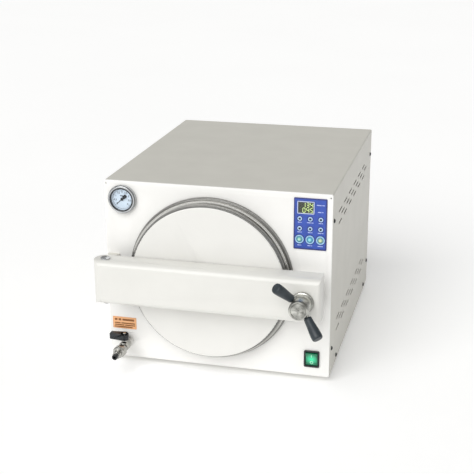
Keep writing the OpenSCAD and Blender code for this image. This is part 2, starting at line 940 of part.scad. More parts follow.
module drain_valve_body() {
    hex_start = 43;
    color("#b9bab8")
    on_front(drain_x, drain_z)
        difference() {
            union() {
                translate([0, 0, 12]) cylinder(h = 24, r = 10.4);
                translate([0, 0, 35]) cylinder(h = hex_start - 34, r = 8.5);
                translate([0, 0, hex_start]) rotate(30) cylinder(h = 18, r = 12.6, $fn = 6);
                translate([0, 0, hex_start + 17]) cylinder(h = 15, r = 7.4);
                translate([0, 0, 23]) rotate([-90, 0, 0]) cylinder(h = 12.5, r = 6);
            }
            translate([0, 0, 10]) cylinder(h = 70, r = 4);
            translate([0, 0, 23]) sphere(ball_r + 0.3);
            translate([0, 0, 23]) rotate([-90, 0, 0]) cylinder(h = 20, r = 3 + run_fit);
        }
}

// Push-fit outlet for a hose
module drain_outlet() {
    color("#1c1e20")
    on_front(drain_x, drain_z) {
        translate([0, 0, 75 + gap]) ring(5.4, drain_bore_r, 8);
        translate([0, 0, 63]) ring(4 - gap/2, drain_bore_r, 12.5);
    }
}

module drain_ball() {
    color("#c9ccce")
    translate([drain_x, lever_y, drain_z])
        difference() {
            union() {
                sphere(ball_r);
                cylinder(h = 17.5, r = 3);
                translate([-1.6, -1.6, 0]) cube([3.2, 3.2, 20]);
            }
            rotate([0, 90, 0]) cylinder(h = 30, r = 3, center = true);
        }
}

lever_l = 30;
lever_w = 15;
lever_z = 13;
lever_h = 12.5;

// Lever across the flow: shut
module drain_lever() {
    color("#24292d")
    translate([drain_x, lever_y, drain_z + lever_z])
        difference() {
            union() {
                cylinder(h = lever_h, r = 8.5);
                translate([0, 0, 1])
                    linear_extrude(lever_h - 0.5)
                        polygon([
                            [2, lever_w/2 + 1], [-lever_l + 2, lever_w/2], [-lever_l, lever_w/2 - 2],
                            [-lever_l, -lever_w/2 + 2], [-lever_l + 2, -lever_w/2], [2, -lever_w/2 - 1]
                        ]);
            }
            translate([0, 0, -over]) cylinder(h = 5.6, r = 3 + gap);
            translate([-1.8, -1.8, 0]) cube([3.6, 3.6, 7.3]);
            translate([0, 0, lever_h - 1.2]) ring(6.6, 4.6, 3);
        }
}

/* Power, board and wiring */

module power_inlet() {
    color("#1a1c1e")
    translate([inlet_x, rear + gap, inlet_z]) to_rear()
        difference() {
            union() {
                plate(50, 24, 3, 3);
                translate([0, 0, -22]) plate(27.6, 19.8, 22.5, 1.6);
                for (x = [-7, 0, 7]) translate([x - 0.4, -3, -32]) cube([0.8, 6, 10.5]);
            }
            translate([0, 0, -14]) plate(24.5, 16.8, 30, 2);
            for (x = [-1, 1]) translate([x*20, 0, -over]) cylinder(h = 6, r = 1.7);
        }
}

module fuse_holders() {
    color("#1a1c1e")
    for (x = fuse_x)
        translate([x, rear + gap, inlet_z]) to_rear()
            difference() {
                union() {
                    cylinder(h = 2.5, r = fuse_r + 2);
                    cylinder(h = 9, r = fuse_r);
                    translate([0, 0, -30]) cylinder(h = 31, r = fuse_r);
                }
                translate([-4, -0.6, 8]) cube([8, 1.2, 3]);
            }
}

transformer_x = right_side - 90;
transformer_y = front + 270;

module transformer() {
    color("#5c6068")
    translate([transformer_x, transformer_y, bottom + panel_t + gap]) {
        translate([-30, -26, 0]) cube([60, 52, 50]);
        translate([-22, -38, 6]) cube([44, 76, 38]);
        for (x = [-1, 1]) translate([x*32 - 7, -20, 0]) cube([14, 40, 3]);
    }
}

module wiring_harness() {
    board_back = front + board_gap + 17;
    lane_x = right_side - 18;
    color("#26282b") {
        pipe_run([
            [overlay_x + 10, board_back, overlay_z - 26],
            [overlay_x + 10, board_back + 18, overlay_z - 26],
            [lane_x, board_back + 18, overlay_z - 26],
            [lane_x, board_back + 18, bottom + 80],
            [lane_x, transformer_y, bottom + 80],
            [transformer_x + 10, transformer_y, bottom + 80],
            [transformer_x + 10, transformer_y, bottom + 52]
        ], 3.2);
        pipe_run([
            [switch_x, front + 38, switch_z],
            [switch_x, front + 52, switch_z],
            [switch_x, front + 52, bottom + 20],
            [switch_x, rear - 40, bottom + 20],
            [inlet_x, rear - 40, bottom + 20],
            [inlet_x, rear - 40, inlet_z],
            [inlet_x, rear - 32.5, inlet_z]
        ], 3.2);
    }
}

/* Hinge */

lug_h = arm_h - 30;
lug_t = 10;
eye_r = 12;
bush_t = 1.5;
bush_l = 16;
foot_x = hinge_x - 15;
foot_w = 24;
hinge_foot_h = arm_h - 16;

module hinge_bracket() {
    pin_reach = front - pin_y;
    foot_reach = arm_back - 3.4;
    color("#f0efeb")
    difference() {
        union() {
            translate([foot_x, front - gap, door_z - hinge_foot_h/2]) {
                translate([0, -4, 0]) cube([foot_w, 4, hinge_foot_h]);
                translate([3, -foot_reach, 0]) cube([foot_w - 6, foot_reach - 1, hinge_foot_h]);
            }
            translate([hinge_x - lug_t/2, pin_y, door_z - lug_h/2]) cube([lug_t, pin_reach - 10, lug_h]);
            translate([hinge_x, pin_y, door_z - lug_h/2]) cylinder(h = lug_h, r = eye_r);
        }
        translate([hinge_x, pin_y, door_z - case_h/2]) cylinder(h = case_h, r = pin_r + 0.5);
        for (z = [-1, 1])
            translate([hinge_x, pin_y, door_z + z*lug_h/2]) cylinder(h = 2*bush_l, r = pin_r + bush_t, center = true);
    }
}

module hinge_bushes() {
    color("#c9a74e")
    for (z = [-1, 1])
        translate([hinge_x, pin_y, door_z + z*(lug_h - bush_l)/2 - bush_l/2])
            ring(pin_r + bush_t, pin_r + run_fit, bush_l);
}

module hinge_pin() {
    pin_l = arm_h + 5;
    color("#bfc2c2")
    translate([hinge_x, pin_y, door_z - arm_h/2 - 4])
        difference() {
            union() {
                cylinder(h = pin_l, r = pin_r);
                translate([0, 0, pin_l - 1 + gap]) cylinder(h = 2.4, r = pin_r + 3.5);
                translate([0, 0, 1.2]) ring(pin_r + 2.5, pin_r - 0.6, 1.2);
            }
            translate([-15, -1, pin_l + 0.4]) cube([30, 2, 4]);
        }
}

/* Clamp arm */

arm_left = hinge_x - arm_d/2;
arm_right = right_side - arm_end_in;
window_angle = 206;

// Shape of the arm, shrunk by inset on every side
module arm_block(inset) {
    d = arm_d - 2*inset;
    h = arm_h - 2*inset;
    r = arm_r - inset;
    l = arm_right - arm_left - 2*inset;
    intersection() {
        translate([arm_left + inset, front - arm_back - arm_d/2, door_z])
            rotate([90, 0, 90])
                linear_extrude(l)
                    difference() {
                        square([d, h], center = true);
                        for (z = [-1, 1])
                            translate([-d/2, z*h/2])
                                difference() {
                                    square(2*r, center = true);
                                    translate([r, -z*r]) circle(r);
                                    translate([-0.01, z > 0 ? -4*r : r]) square([4*r, 3*r]);
                                    translate([r, -2*r]) square([4*r, 4*r]);
                                }
                    }
        translate([0, 0, door_z - h/2])
            linear_extrude(h)
                union() {
                    translate([hinge_x, pin_y]) circle(d/2, $fn = 120);
                    difference() {
                        translate([hinge_x, pin_y - d/2]) square([arm_right - inset - hinge_x, d]);
                        translate([arm_right - inset, pin_y - d/2])
                            difference() {
                                square(2*(8 - inset), center = true);
                                translate([-(8 - inset), 8 - inset]) circle(8 - inset);
                            }
                    }
                }
    }
}

module arm_shell() {
    color("#f4f3ef")
    difference() {
        arm_block(0);
        union() {
            arm_block(arm_t);
            // Open back, behind the inner shape
            translate([hinge_x, pin_y, door_z - arm_h/2 + arm_t])
                cube([arm_right - hinge_x - arm_t, arm_d, arm_h - 2*arm_t]);
        }
        // Window in the round end, for the bracket's lug as the arm swings
        translate([hinge_x, pin_y, door_z - lug_h/2 - 4])
            linear_extrude(lug_h + 8)
                polygon([
                    [0, 0], [40, 0], [40, 60], [-60, 60],
                    60*[cos(window_angle), sin(window_angle)]
                ]);
        translate([hinge_x, pin_y, door_z - case_h/2]) cylinder(h = case_h, r = pin_r + gap/2);
        on_front(clamp_x, door_z) cylinder(h = 2*arm_face, r = screw_r + 3.6);
    }
}

beam_back = arm_back + 14;
beam_face = arm_face - arm_t - 1.2;
beam_half_h = 25;
beam_start = hinge_x + 18;
beam_end = arm_right - 12;
stud_r = 10;

// Bar inside the arm, with an ear above and below the hinge lug
module arm_beam() {
    inner_half_h = arm_h/2 - arm_t - 0.3;
    ear_h = inner_half_h - lug_h/2 - clear;
    color("#8f9294")
    difference() {
        union() {
            translate([beam_start, front - beam_face, door_z - beam_half_h])
                cube([beam_end - beam_start, beam_face - beam_back, 2*beam_half_h]);
            translate([beam_start, front - beam_face, door_z - inner_half_h + arm_r/2])
                cube([14, beam_face - beam_back, 2*inner_half_h - arm_r]);
            for (z = [-1, 1])
                translate([0, 0, door_z + (z > 0 ? lug_h/2 + clear : -lug_h/2 - clear - ear_h)]) {
                    translate([hinge_x, pin_y - 9, 0]) cube([24, 18, ear_h]);
                    translate([hinge_x, pin_y, 0]) cylinder(h = ear_h, r = pin_r + 4.5);
                }
        }
        translate([hinge_x, pin_y, door_z - case_h/2]) cylinder(h = case_h, r = pin_r + gap/2);
        on_front(clamp_x, door_z) cylinder(h = 2*arm_face, r = screw_r + 3 + run_fit);
        on_front(door_x, door_z) cylinder(h = 2*arm_face, r = stud_r + gap/2);
    }
}

module door_plate() {
    color("#c2c3c3")
    on_front(door_x, door_z)
        difference() {
            union() {
                translate([0, 0, plate_back]) cylinder(h = door_plate_t, r = plate_r - 2);
                translate([0, 0, plate_back + 1.5]) cylinder(h = door_plate_t - 3.5, r = plate_r);
                translate([0, 0, plate_back - 6]) cylinder(h = 7, r = chamber_r - 6);
            }
            // Groove that holds the seal
            translate([0, 0, plate_back - over]) ring(chamber_r + 15, chamber_r + 5, over + 4);
            translate([0, 0, plate_back + 2]) cylinder(h = 30, r = stud_r + gap/2);
        }
}

module door_seal() {
    color("#e9e6df")
    on_front(door_x, door_z)
        union() {
            translate([0, 0, plate_back - 0.6]) ring(chamber_r + 15 - gap, chamber_r + 5 + gap, 4.4);
            translate([0, 0, mouth + 0.05]) ring(chamber_r + 12, chamber_r + 8, 2);
        }
}

module door_cover() {
    edge_r = 3;
    color("#f6f5f2")
    on_front(door_x, door_z)
        difference() {
            translate([0, 0, cover_back + gap/2])
                rotate_extrude($fn = 180)
                    difference() {
                        square([cover_r, door_cover_t]);
                        translate([cover_r - edge_r, door_cover_t - edge_r])
                            difference() {
                                square(edge_r + over);
                                circle(edge_r);
                            }
                    }
            translate([0, 0, cover_back - over]) cylinder(h = door_cover_t - 1.5 + over, r = cover_r - 1.5);
            cylinder(h = arm_face, r = stud_r + 3);
        }
}

// Stud that carries the door, with its lock nut behind the beam
module door_stud() {
    color("#9a9c9e")
    on_front(door_x, door_z) {
        translate([0, 0, plate_back + 2 + gap]) cylinder(h = beam_face - plate_back - 4, r = stud_r);
        translate([0, 0, beam_back - 10 - gap]) cylinder(h = 10, r = 17, $fn = 6);
    }
}

/* Clamp */

keeper_h = arm_h - 26;
keeper_x = door_x + collar_r + 1.2;
keeper_w = clamp_x + 17.5 - keeper_x;
keeper_reach = arm_back - 2.5;
keeper_bore_r = screw_r + 2;

// Box-shaped keeper on the panel, with a steel block that takes the clamp screw
module latch_keeper() {
    wall = 3;
    color("#efeeea")
    difference() {
        union() {
            difference() {
                translate([keeper_x + keeper_w/2, front - gap, door_z])
                    to_front() plate(keeper_w, keeper_h, keeper_reach, 6);
                translate([keeper_x + keeper_w/2, front + over, door_z])
                    to_front() plate(keeper_w - 2*wall, keeper_h - 2*wall, keeper_reach - wall + over, 4);
            }
            on_front(clamp_x, door_z) translate([0, 0, 8]) cylinder(h = keeper_reach - 10, r = 14);
        }
        on_front(clamp_x, door_z) cylinder(h = 2*arm_face, r = keeper_bore_r);
    }
}

screw_tip = 13;
knob_back = arm_face + 0.4;

module clamp_sleeve() {
    color("#b89b55")
    on_front(clamp_x, door_z)
        translate([0, 0, beam_back + 2]) ring(screw_r + 3, screw_r + run_fit, arm_face - beam_back - 2.3);
}

module clamp_screw() {
    color("#a4a6a8")
    on_front(clamp_x, door_z) {
        translate([0, 0, screw_tip + 2]) cylinder(h = knob_back + 12 - screw_tip - 2, r = screw_r);
        translate([0, 0, screw_tip]) cylinder(h = 2.01, r1 = screw_r - 2, r2 = screw_r);
    }
}

stem_r = 4.5;
grip_line_reach = grip_root_reach - grip_root_r*tan(grip_tilt);

// Places children drawn along +Z so that they run along a grip, from the screw's axis outwards
module along_grip(side) {
    translate([0, 0, grip_line_reach])
        rotate([0, 0, grip_angle + side*180]) rotate([0, 90 - grip_tilt, 0]) children();
}

module clamp_hub() {
    color("#b9bbbd")
    on_front(clamp_x, door_z)
        difference() {
            union() {
                translate([0, 0, knob_back])
                    rotate_extrude()
                        polygon([
                            [0, 0], [hub_r + 2, 0], [hub_r + 3, 1], [hub_r + 3, 3.5], [hub_r + 2, 5], [hub_r, 6],
                            [hub_r, hub_reach - knob_back - 2], [hub_r - 2, hub_reach - knob_back],
                            [0, hub_reach - knob_back]
                        ]);
                for (side = [0, 1])
                    along_grip(side) cylinder(h = grip_root_r/cos(grip_tilt) + grip_l*0.6, r = stem_r);
            }
            translate([0, 0, knob_back - over]) cylinder(h = 12 + over + gap, r = screw_r + gap/2);
            // Turned groove in the hub's face
            translate([0, 0, hub_reach - 0.4]) ring(hub_r - 4, hub_r - 5, 2);
        }
}

module clamp_grips() {
    color("#3b4248")
    on_front(clamp_x, door_z)
        for (side = [0, 1])
            along_grip(side)
                translate([0, 0, grip_root_r/cos(grip_tilt)])
                    difference() {
                        rotate_extrude()
                            polygon([
                                [0, 0], [6.8, 0], [7.6, 1], [7.8, 6], [8.6, 16], [9.8, 28], [grip_tip_r, grip_l - 8],
                                [grip_tip_r - 0.2, grip_l - 3], [grip_tip_r - 0.9, grip_l - 1],
                                [grip_tip_r - 2.2, grip_l], [0, grip_l]
                            ]);
                        translate([0, 0, -over]) cylinder(h = grip_l*0.6 + over + gap, r = stem_r + run_fit);
                    }
}

outer_cover();
front_panel();
rear_panel();
base_plate();
feet();
case_screws();
chamber();
chamber_head();
chamber_flange();
panel_collar();
insulation_jacket();
heater_band();
chamber_cradles();
tray_rack();
chamber_probes();
water_tank();
solenoid_valves();
copper_pipes();
gauge_case();
gauge_dial();
gauge_glass();
control_overlay();
display_window();
indicator_lenses();
control_board();
switch_bezel();
label_plate();
hinge_bracket();
hinge_bushes();
latch_keeper();
drain_tailpiece();
drain_valve_body();
drain_outlet();
power_inlet();
fuse_holders();
transformer();
wiring_harness();
safety_valve();
arm_shell();
arm_beam();
hinge_pin();
door_plate();
door_cover();
door_seal();
door_stud();
clamp_sleeve();
clamp_screw();
clamp_hub();
clamp_grips();
drain_lever();
drain_ball();
switch_rocker();
button_left();
button_middle();
button_right();
gauge_pointer();
tray_low();
tray_middle();
tray_high();
safety_ring();
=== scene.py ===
"""Looks of a benchtop autoclave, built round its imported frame.

Lengths are in metres, and a name that ends in _mm is in millimetres. X points right, Y to the rear and Z up.
Every CAD node gets a finish. Where its edges show, a softened copy stands for it. Printed marks, lit digits,
trims and screws are modelled here, and each rides on the body that it belongs to.
"""

from __future__ import annotations

import json
import logging
import math
from dataclasses import dataclass, field, replace
from enum import Enum
from typing import Any, Callable, Sequence

import bpy
from mathutils import Matrix, Vector
from mathutils.bvhtree import BVHTree

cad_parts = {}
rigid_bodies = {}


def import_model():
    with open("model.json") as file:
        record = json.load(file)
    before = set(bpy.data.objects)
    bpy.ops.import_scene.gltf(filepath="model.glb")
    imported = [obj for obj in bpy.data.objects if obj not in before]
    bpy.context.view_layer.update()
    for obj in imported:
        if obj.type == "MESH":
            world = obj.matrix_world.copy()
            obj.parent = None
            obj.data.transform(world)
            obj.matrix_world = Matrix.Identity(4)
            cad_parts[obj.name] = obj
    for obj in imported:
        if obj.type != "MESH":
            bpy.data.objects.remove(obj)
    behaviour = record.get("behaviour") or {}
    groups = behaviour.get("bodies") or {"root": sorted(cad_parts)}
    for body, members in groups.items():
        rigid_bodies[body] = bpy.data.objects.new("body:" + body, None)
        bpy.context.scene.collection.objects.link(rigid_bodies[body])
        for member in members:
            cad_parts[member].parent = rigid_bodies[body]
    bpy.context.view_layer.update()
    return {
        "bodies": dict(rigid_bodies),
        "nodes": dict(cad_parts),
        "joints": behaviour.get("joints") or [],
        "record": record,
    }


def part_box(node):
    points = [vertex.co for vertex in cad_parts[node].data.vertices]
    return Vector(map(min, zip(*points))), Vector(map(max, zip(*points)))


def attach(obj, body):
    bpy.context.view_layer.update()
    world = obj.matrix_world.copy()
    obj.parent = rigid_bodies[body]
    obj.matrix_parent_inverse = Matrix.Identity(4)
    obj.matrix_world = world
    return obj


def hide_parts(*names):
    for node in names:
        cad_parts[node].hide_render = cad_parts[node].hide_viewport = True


MM = 0.001
LOG = logging.getLogger("autoclave")
# A noise stays mostly between the first two values, and the sum of two noises between the others
NOISE_LOW, NOISE_HIGH = 0.3, 0.7
PAIR_LOW, PAIR_HIGH = 0.7, 1.3
# Glass of this index turns back a twenty-fifth of the light that meets it head on
GLASS_INDEX = 1.5
# Angle in degrees up to which a turned or rounded surface is shaded smooth
SMOOTH_DEG = 30.0
# A CAD node's loose triangles are merged at corners that are this close, and where they lie this flat
MERGE_MM = 0.004
FLAT_DEG = 0.3
# Thickness of printed marks
PRINT_MM = 0.1
# Segments that a figure lights, counted from the top, clockwise, with the middle one last
SEGMENTS = {
    " ": "", "0": "012345", "1": "12", "2": "01346", "3": "01236", "4": "1256",
    "5": "02356", "6": "023456", "7": "012", "8": "0123456", "9": "012356",
}

Tree = bpy.types.NodeTree
Socket = bpy.types.NodeSocket
Piece = bpy.types.Object
# Pairs of millimetres, such as the profile of a piece that is turned on a lathe
Pairs = Sequence[tuple[float, float]]
# Nodes that get rounded edges, each with the width in millimetres and the faces across it
Rounds = tuple[tuple[str, float, int], ...]


# ---------------------------------------------------------------- colour and nodes


def linear(code: str) -> tuple[float, float, float, float]:
    """Turns an sRGB hex colour into linear RGBA.

    Args:
        code: colour such as "#F4F3EF".

    Returns:
        Red, green, blue and an alpha of 1.
    """
    parts = [int(code[i : i + 2], 16) / 255 for i in (1, 3, 5)]
    curved = [c / 12.92 if c <= 0.04045 else ((c + 0.055) / 1.055) ** 2.4 for c in parts]
    return curved[0], curved[1], curved[2], 1.0


def add_node(tree: Tree, kind: str, links: dict[Any, Any] | None = None, **settings: Any) -> bpy.types.Node:
    """Adds one shader node with its settings and links.

    Args:
        tree: node tree that it joins.
        kind: Blender's name for the node.
        links: for each input, by name or number, either the output that feeds it or a value.
        settings: attributes of the node.

    Returns:
        The new node.
    """
    node = tree.nodes.new(kind)
    for name, value in settings.items():
        setattr(node, name, value)
    for key, value in (links or {}).items():
        if isinstance(value, Socket):
            tree.links.new(value, node.inputs[key])
        else:
            node.inputs[key].default_value = value
    return node


# ---------------------------------------------------------------- finishes


class Grain(Enum):
    """How a surface's fine pattern runs."""

    EVEN = "even"
    TURNED = "turned"
    BRUSHED = "brushed"
    FIBRE = "fibre"


@dataclass(frozen=True)
class Finish:
    """A surface: its colour, gloss and fine pattern.

    Attributes:
        name: the material's name.
        colour: main colour.
        shade: colour that the main one drifts to in broad patches.
        roughness: middle roughness.
        roughness_drift: how far the roughness moves to each side.
        metallic: 1 for bare metal.
        grain: how the fine pattern runs.
        grain_mm: size of the fine pattern.
        bump_mm: height of the fine pattern.
        drift_mm: size of the broad patches.
        coat: weight of a clear top layer.
        sheen: weight of the soft fuzz of a fibre.
        own_light: strength of the light that the surface gives off.
    """

    name: str
    colour: str
    shade: str
    roughness: float
    roughness_drift: float = 0.05
    metallic: float = 0.0
    grain: Grain = Grain.EVEN
    grain_mm: float = 1.5
    bump_mm: float = 0.01
    drift_mm: float = 60.0
    coat: float = 0.0
    sheen: float = 0.0
    own_light: float = 0.0

    def start(self) -> tuple[bpy.types.Material, Tree]:
        """Makes the empty material.

        Returns:
            The material and its node tree.
        """
        material = bpy.data.materials.new(self.name)
        material.use_nodes = True
        material.node_tree.nodes.clear()
        return material, material.node_tree

    def radius(self, tree: Tree, centre: Vector) -> Socket:
        """Measures how far a point is from the line that runs through the centre, from front to rear.

        Args:
            tree: the material's node tree.
            centre: point on the line.

        Returns:
            The distance in metres.
        """
        position = add_node(tree, "ShaderNodeTexCoord").outputs["Object"]
        flat = {"Vector": position, "Location": (-centre.x, 0.0, -centre.z), "Scale": (1.0, 0.0, 1.0)}
        moved = add_node(tree, "ShaderNodeMapping", flat).outputs[0]
        return add_node(tree, "ShaderNodeVectorMath", {0: moved}, operation="LENGTH").outputs["Value"]

    def place(self, tree: Tree, centre: Vector, round_mm: float) -> Socket:
        """Lays the pattern's coordinates on the piece.

        Args:
            tree: the material's node tree.
            centre: point on the axis that a turned pattern runs round.
            round_mm: how far a turned pattern moves on over one radian.

        Returns:
            Coordinates in metres, stretched the way the grain runs.
        """
        position = add_node(tree, "ShaderNodeTexCoord").outputs["Object"]
        # A brushed line is about thirty times as long as it is wide
        scale = (1.0, 0.03, 1.0) if self.grain is Grain.BRUSHED else (1.0, 1.0, 1.0)
        lie = {"Vector": position, "Location": -centre, "Scale": scale}
        moved = add_node(tree, "ShaderNodeMapping", lie).outputs[0]
        if self.grain is not Grain.TURNED:
            return moved
        x, y, z = add_node(tree, "ShaderNodeSeparateXYZ", {0: moved}).outputs
        angle = add_node(tree, "ShaderNodeMath", {0: z, 1: x}, operation="ARCTAN2").outputs[0]
        drift = add_node(tree, "ShaderNodeMath", {0: angle, 1: round_mm * MM}, operation="MULTIPLY")
        lie = {0: self.radius(tree, centre), 1: y, 2: drift.outputs[0]}
        return add_node(tree, "ShaderNodeCombineXYZ", lie).outputs[0]

    def surface(self, tree: Tree, centre: Vector) -> dict[str, Socket]:
        """Makes the colour, roughness and normal that the shader takes.

        Args:
            tree: the material's node tree.
            centre: point on the axis that a turned pattern runs round.

        Returns:
            The outputs under the names of the shader's inputs.
        """
        # On turned metal a tool mark fades over about half a radian, and a broad streak over a whole one; on
        # the steels and chrome the broad streaks in the colour are painted reflections
        place = self.place(tree, centre, 2.0 * self.grain_mm)
        wide = self.place(tree, centre, 0.8 * self.drift_mm) if self.grain is Grain.TURNED else place
        detail = 6.0 if self.grain is Grain.FIBRE else 3.0
        marks = {"Vector": place, "Scale": 1 / (self.grain_mm * MM), "Detail": detail}
        fine = add_node(tree, "ShaderNodeTexNoise", marks).outputs[0]
        patches = {"Vector": wide, "Scale": 1 / (self.drift_mm * MM), "Detail": 2.0}
        broad = add_node(tree, "ShaderNodeTexNoise", patches).outputs[0]
        drift = {0: broad, 1: NOISE_LOW, 2: NOISE_HIGH, 3: 0.0, 4: 1.0}
        share = add_node(tree, "ShaderNodeMapRange", drift).outputs[0]
        colour = {0: share, 6: linear(self.colour), 7: linear(self.shade)}
        mixed = add_node(tree, "ShaderNodeMath", {0: fine, 1: broad}, operation="ADD").outputs[0]
        gloss = {
            0: mixed, 1: PAIR_LOW, 2: PAIR_HIGH,
            3: self.roughness - self.roughness_drift, 4: self.roughness + self.roughness_drift,
        }
        bump = {"Height": fine, "Distance": self.bump_mm * MM, "Strength": 1.0}
        links = {
            "Base Color": add_node(tree, "ShaderNodeMix", colour, data_type="RGBA").outputs[2],
            "Roughness": add_node(tree, "ShaderNodeMapRange", gloss).outputs[0],
            "Normal": add_node(tree, "ShaderNodeBump", bump).outputs[0],
        }
        if self.grain is Grain.TURNED:
            round_axis = add_node(tree, "ShaderNodeTangent", direction_type="RADIAL", axis="Y")
            links["Tangent"] = round_axis.outputs[0]
        return links

    def finish_with(
        self,
        tree: Tree,
        links: dict[str, Any],
        layers: Sequence[tuple[Socket, str]] = (),
    ) -> None:
        """Lays further colours on, and adds the shader and the output.

        Args:
            tree: the material's node tree.
            links: the shader's inputs.
            layers: what goes over the base colour, in turn, as (how much of it there is, colour).
        """
        for share, colour in layers:
            over = {0: share, 6: links["Base Color"], 7: linear(colour)}
            links["Base Color"] = add_node(tree, "ShaderNodeMix", over, data_type="RGBA").outputs[2]
        whole = {"Metallic": self.metallic, "Coat Weight": self.coat, "Sheen Weight": self.sheen, **links}
        if self.grain is Grain.TURNED:
            whole["Anisotropic"] = 0.7
        if self.own_light:
            whole.update({"Emission Color": linear(self.colour), "Emission Strength": self.own_light})
        if "Emission Strength" in links:
            whole["Emission Color"] = links["Base Color"]
        shader = add_node(tree, "ShaderNodeBsdfPrincipled", whole).outputs[0]
        add_node(tree, "ShaderNodeOutputMaterial", {0: shader})

    def material(self, centre: Vector = Vector()) -> bpy.types.Material:
        """Makes the material.

        Args:
            centre: point on the axis that a turned pattern runs round.

        Returns:
            The finished material.
        """
        material, tree = self.start()
        self.finish_with(tree, self.surface(tree, centre))
        return material


@dataclass(frozen=True)
class PowderCoat(Finish):
    """Polyester powder, baked on sheet steel: satin, with a faint orange peel."""

    roughness_drift: float = 0.02
    grain_mm: float = 1.8
    bump_mm: float = 0.004


@dataclass(frozen=True)
class PlainMetal(Finish):
    """Bare or plated metal: sharp highlights, dulled unevenly by handling."""

    roughness_drift: float = 0.08
    metallic: float = 1.0


@dataclass(frozen=True)
class TurnedMetal(Finish):
    """Metal cut on a lathe: its rings of tool marks streak the light."""

    roughness_drift: float = 0.06
    metallic: float = 1.0
    grain: Grain = Grain.TURNED
    bump_mm: float = 0.001


@dataclass(frozen=True)
class Moulded(Finish):
    """Moulded plastic or rubber: an even, soft shine over the mould's fine texture."""

    grain_mm: float = 0.8
    drift_mm: float = 12.0


@dataclass(frozen=True)
class Ink(Finish):
    """Screen-printed ink: flat and matt, with a slightly uneven lay."""

    roughness: float = 0.5
    grain_mm: float = 0.5
    bump_mm: float = 0.002
    drift_mm: float = 3.0


@dataclass(frozen=True)
class LitFinish(Finish):
    """A translucent or printed surface that glows from its middle.

    Attributes:
        core: colour at the middle.
        core_mm: radius of the bright middle.
        reach_mm: radius at which the glow has gone.
        glow: strength of the light at the middle.
        rings: colours of rings outside the middle, as (radius in millimetres, colour).
        blur_mm: half the width over which one ring turns into the next.
    """

    core: str = "#FFFFFF"
    core_mm: float = 3.0
    reach_mm: float = 8.0
    glow: float = 0.0
    rings: tuple[tuple[float, str], ...] = ()
    blur_mm: float = 0.3

    def material(self, centre: Vector = Vector()) -> bpy.types.Material:
        """Makes the material.

        Args:
            centre: middle of the glow.

        Returns:
            The finished material.
        """
        material, tree = self.start()
        links = self.surface(tree, centre)
        radius = self.radius(tree, centre)
        fade = {0: radius, 1: self.core_mm * MM, 2: self.reach_mm * MM, 3: 1.0, 4: 0.0}
        layers = [(add_node(tree, "ShaderNodeMapRange", fade).outputs[0], self.core)]
        for ring_mm, colour in self.rings:
            start, end = (ring_mm - self.blur_mm) * MM, (ring_mm + self.blur_mm) * MM
            step = {0: radius, 1: start, 2: end, 3: 0.0, 4: 1.0}
            layers.append((add_node(tree, "ShaderNodeMapRange", step).outputs[0], colour))
        if self.glow:
            light = {**fade, 3: self.glow}
            links["Emission Strength"] = add_node(tree, "ShaderNodeMapRange", light).outputs[0]
        self.finish_with(tree, links, layers)
        return material


@dataclass(frozen=True)
class FramedFilm(Finish):
    """Printed polyester film with a darker border.

    Attributes:
        border: colour of the border.
        half_w_mm: half the film's width.
        half_h_mm: half the film's height.
        border_mm: width of the border.
        blur_mm: half the width over which the film turns into the border.
    """

    border: str = "#2C3478"
    half_w_mm: float = 30.0
    half_h_mm: float = 50.0
    border_mm: float = 2.5
    blur_mm: float = 0.6

    def material(self, centre: Vector = Vector()) -> bpy.types.Material:
        """Makes the material.

        Args:
            centre: middle of the film.

        Returns:
            The finished material.
        """
        material, tree = self.start()
        links = self.surface(tree, centre)
        position = add_node(tree, "ShaderNodeTexCoord").outputs["Object"]
        moved = add_node(tree, "ShaderNodeMapping", {"Vector": position, "Location": -centre}).outputs[0]
        apart = add_node(tree, "ShaderNodeVectorMath", {0: moved}, operation="ABSOLUTE").outputs[0]
        across, _, up = add_node(tree, "ShaderNodeSeparateXYZ", {0: apart}).outputs
        layers = []
        for distance, half_mm in ((across, self.half_w_mm), (up, self.half_h_mm)):
            start = (half_mm - self.border_mm - self.blur_mm) * MM
            step = {0: distance, 1: start, 2: start + 2 * self.blur_mm * MM, 3: 0.0, 4: 1.0}
            layers.append((add_node(tree, "ShaderNodeMapRange", step).outputs[0], self.border))
        self.finish_with(tree, links, layers)
        return material


@dataclass(frozen=True)
class ClearGlass(Finish):
    """Flat clear glass that the dial is seen through."""

    def material(self, centre: Vector = Vector()) -> bpy.types.Material:
        """Makes the material.

        Args:
            centre: not used, because the glass has no pattern of its own to turn.

        Returns:
            The finished material.
        """
        material, tree = self.start()
        links = self.surface(tree, centre)
        clear = add_node(tree, "ShaderNodeBsdfTransparent", {0: linear(self.colour)}).outputs[0]
        gloss = {"Roughness": links["Roughness"], "Normal": links["Normal"]}
        shine = add_node(tree, "ShaderNodeBsdfGlossy", gloss).outputs[0]
        # The light is turned back once, on the way in, and not again on the inner face
        turned_back = add_node(tree, "ShaderNodeFresnel", {"IOR": GLASS_INDEX}).outputs[0]
        inside = add_node(tree, "ShaderNodeNewGeometry").outputs["Backfacing"]
        once = {0: turned_back, 1: inside}
        share = add_node(tree, "ShaderNodeMath", once, operation="SUBTRACT", use_clamp=True).outputs[0]
        both = add_node(tree, "ShaderNodeMixShader", {0: share, 1: clear, 2: shine}).outputs[0]
        add_node(tree, "ShaderNodeOutputMaterial", {0: both})
        return material


# Panel, cover, arm and door take whites that differ a little, the arm's and door's set darker than the
# panel's
PANEL_WHITE = PowderCoat("powder_coat_white", "#F4F3F0", "#F1F0ED", 0.36, coat=0.15)
COVER_GREY = PowderCoat("powder_coat_warm_grey", "#D5D3CB", "#D1CFC7", 0.5, bump_mm=0.006, coat=0.1)
ARM_WHITE = PowderCoat("powder_coat_arm_white", "#E0DFDA", "#DDDCD7", 0.33, grain_mm=1.6, coat=0.2)
DOOR_WHITE = PowderCoat("powder_coat_door_white", "#E3E2DE", "#E0DFDB", 0.4, coat=0.1)
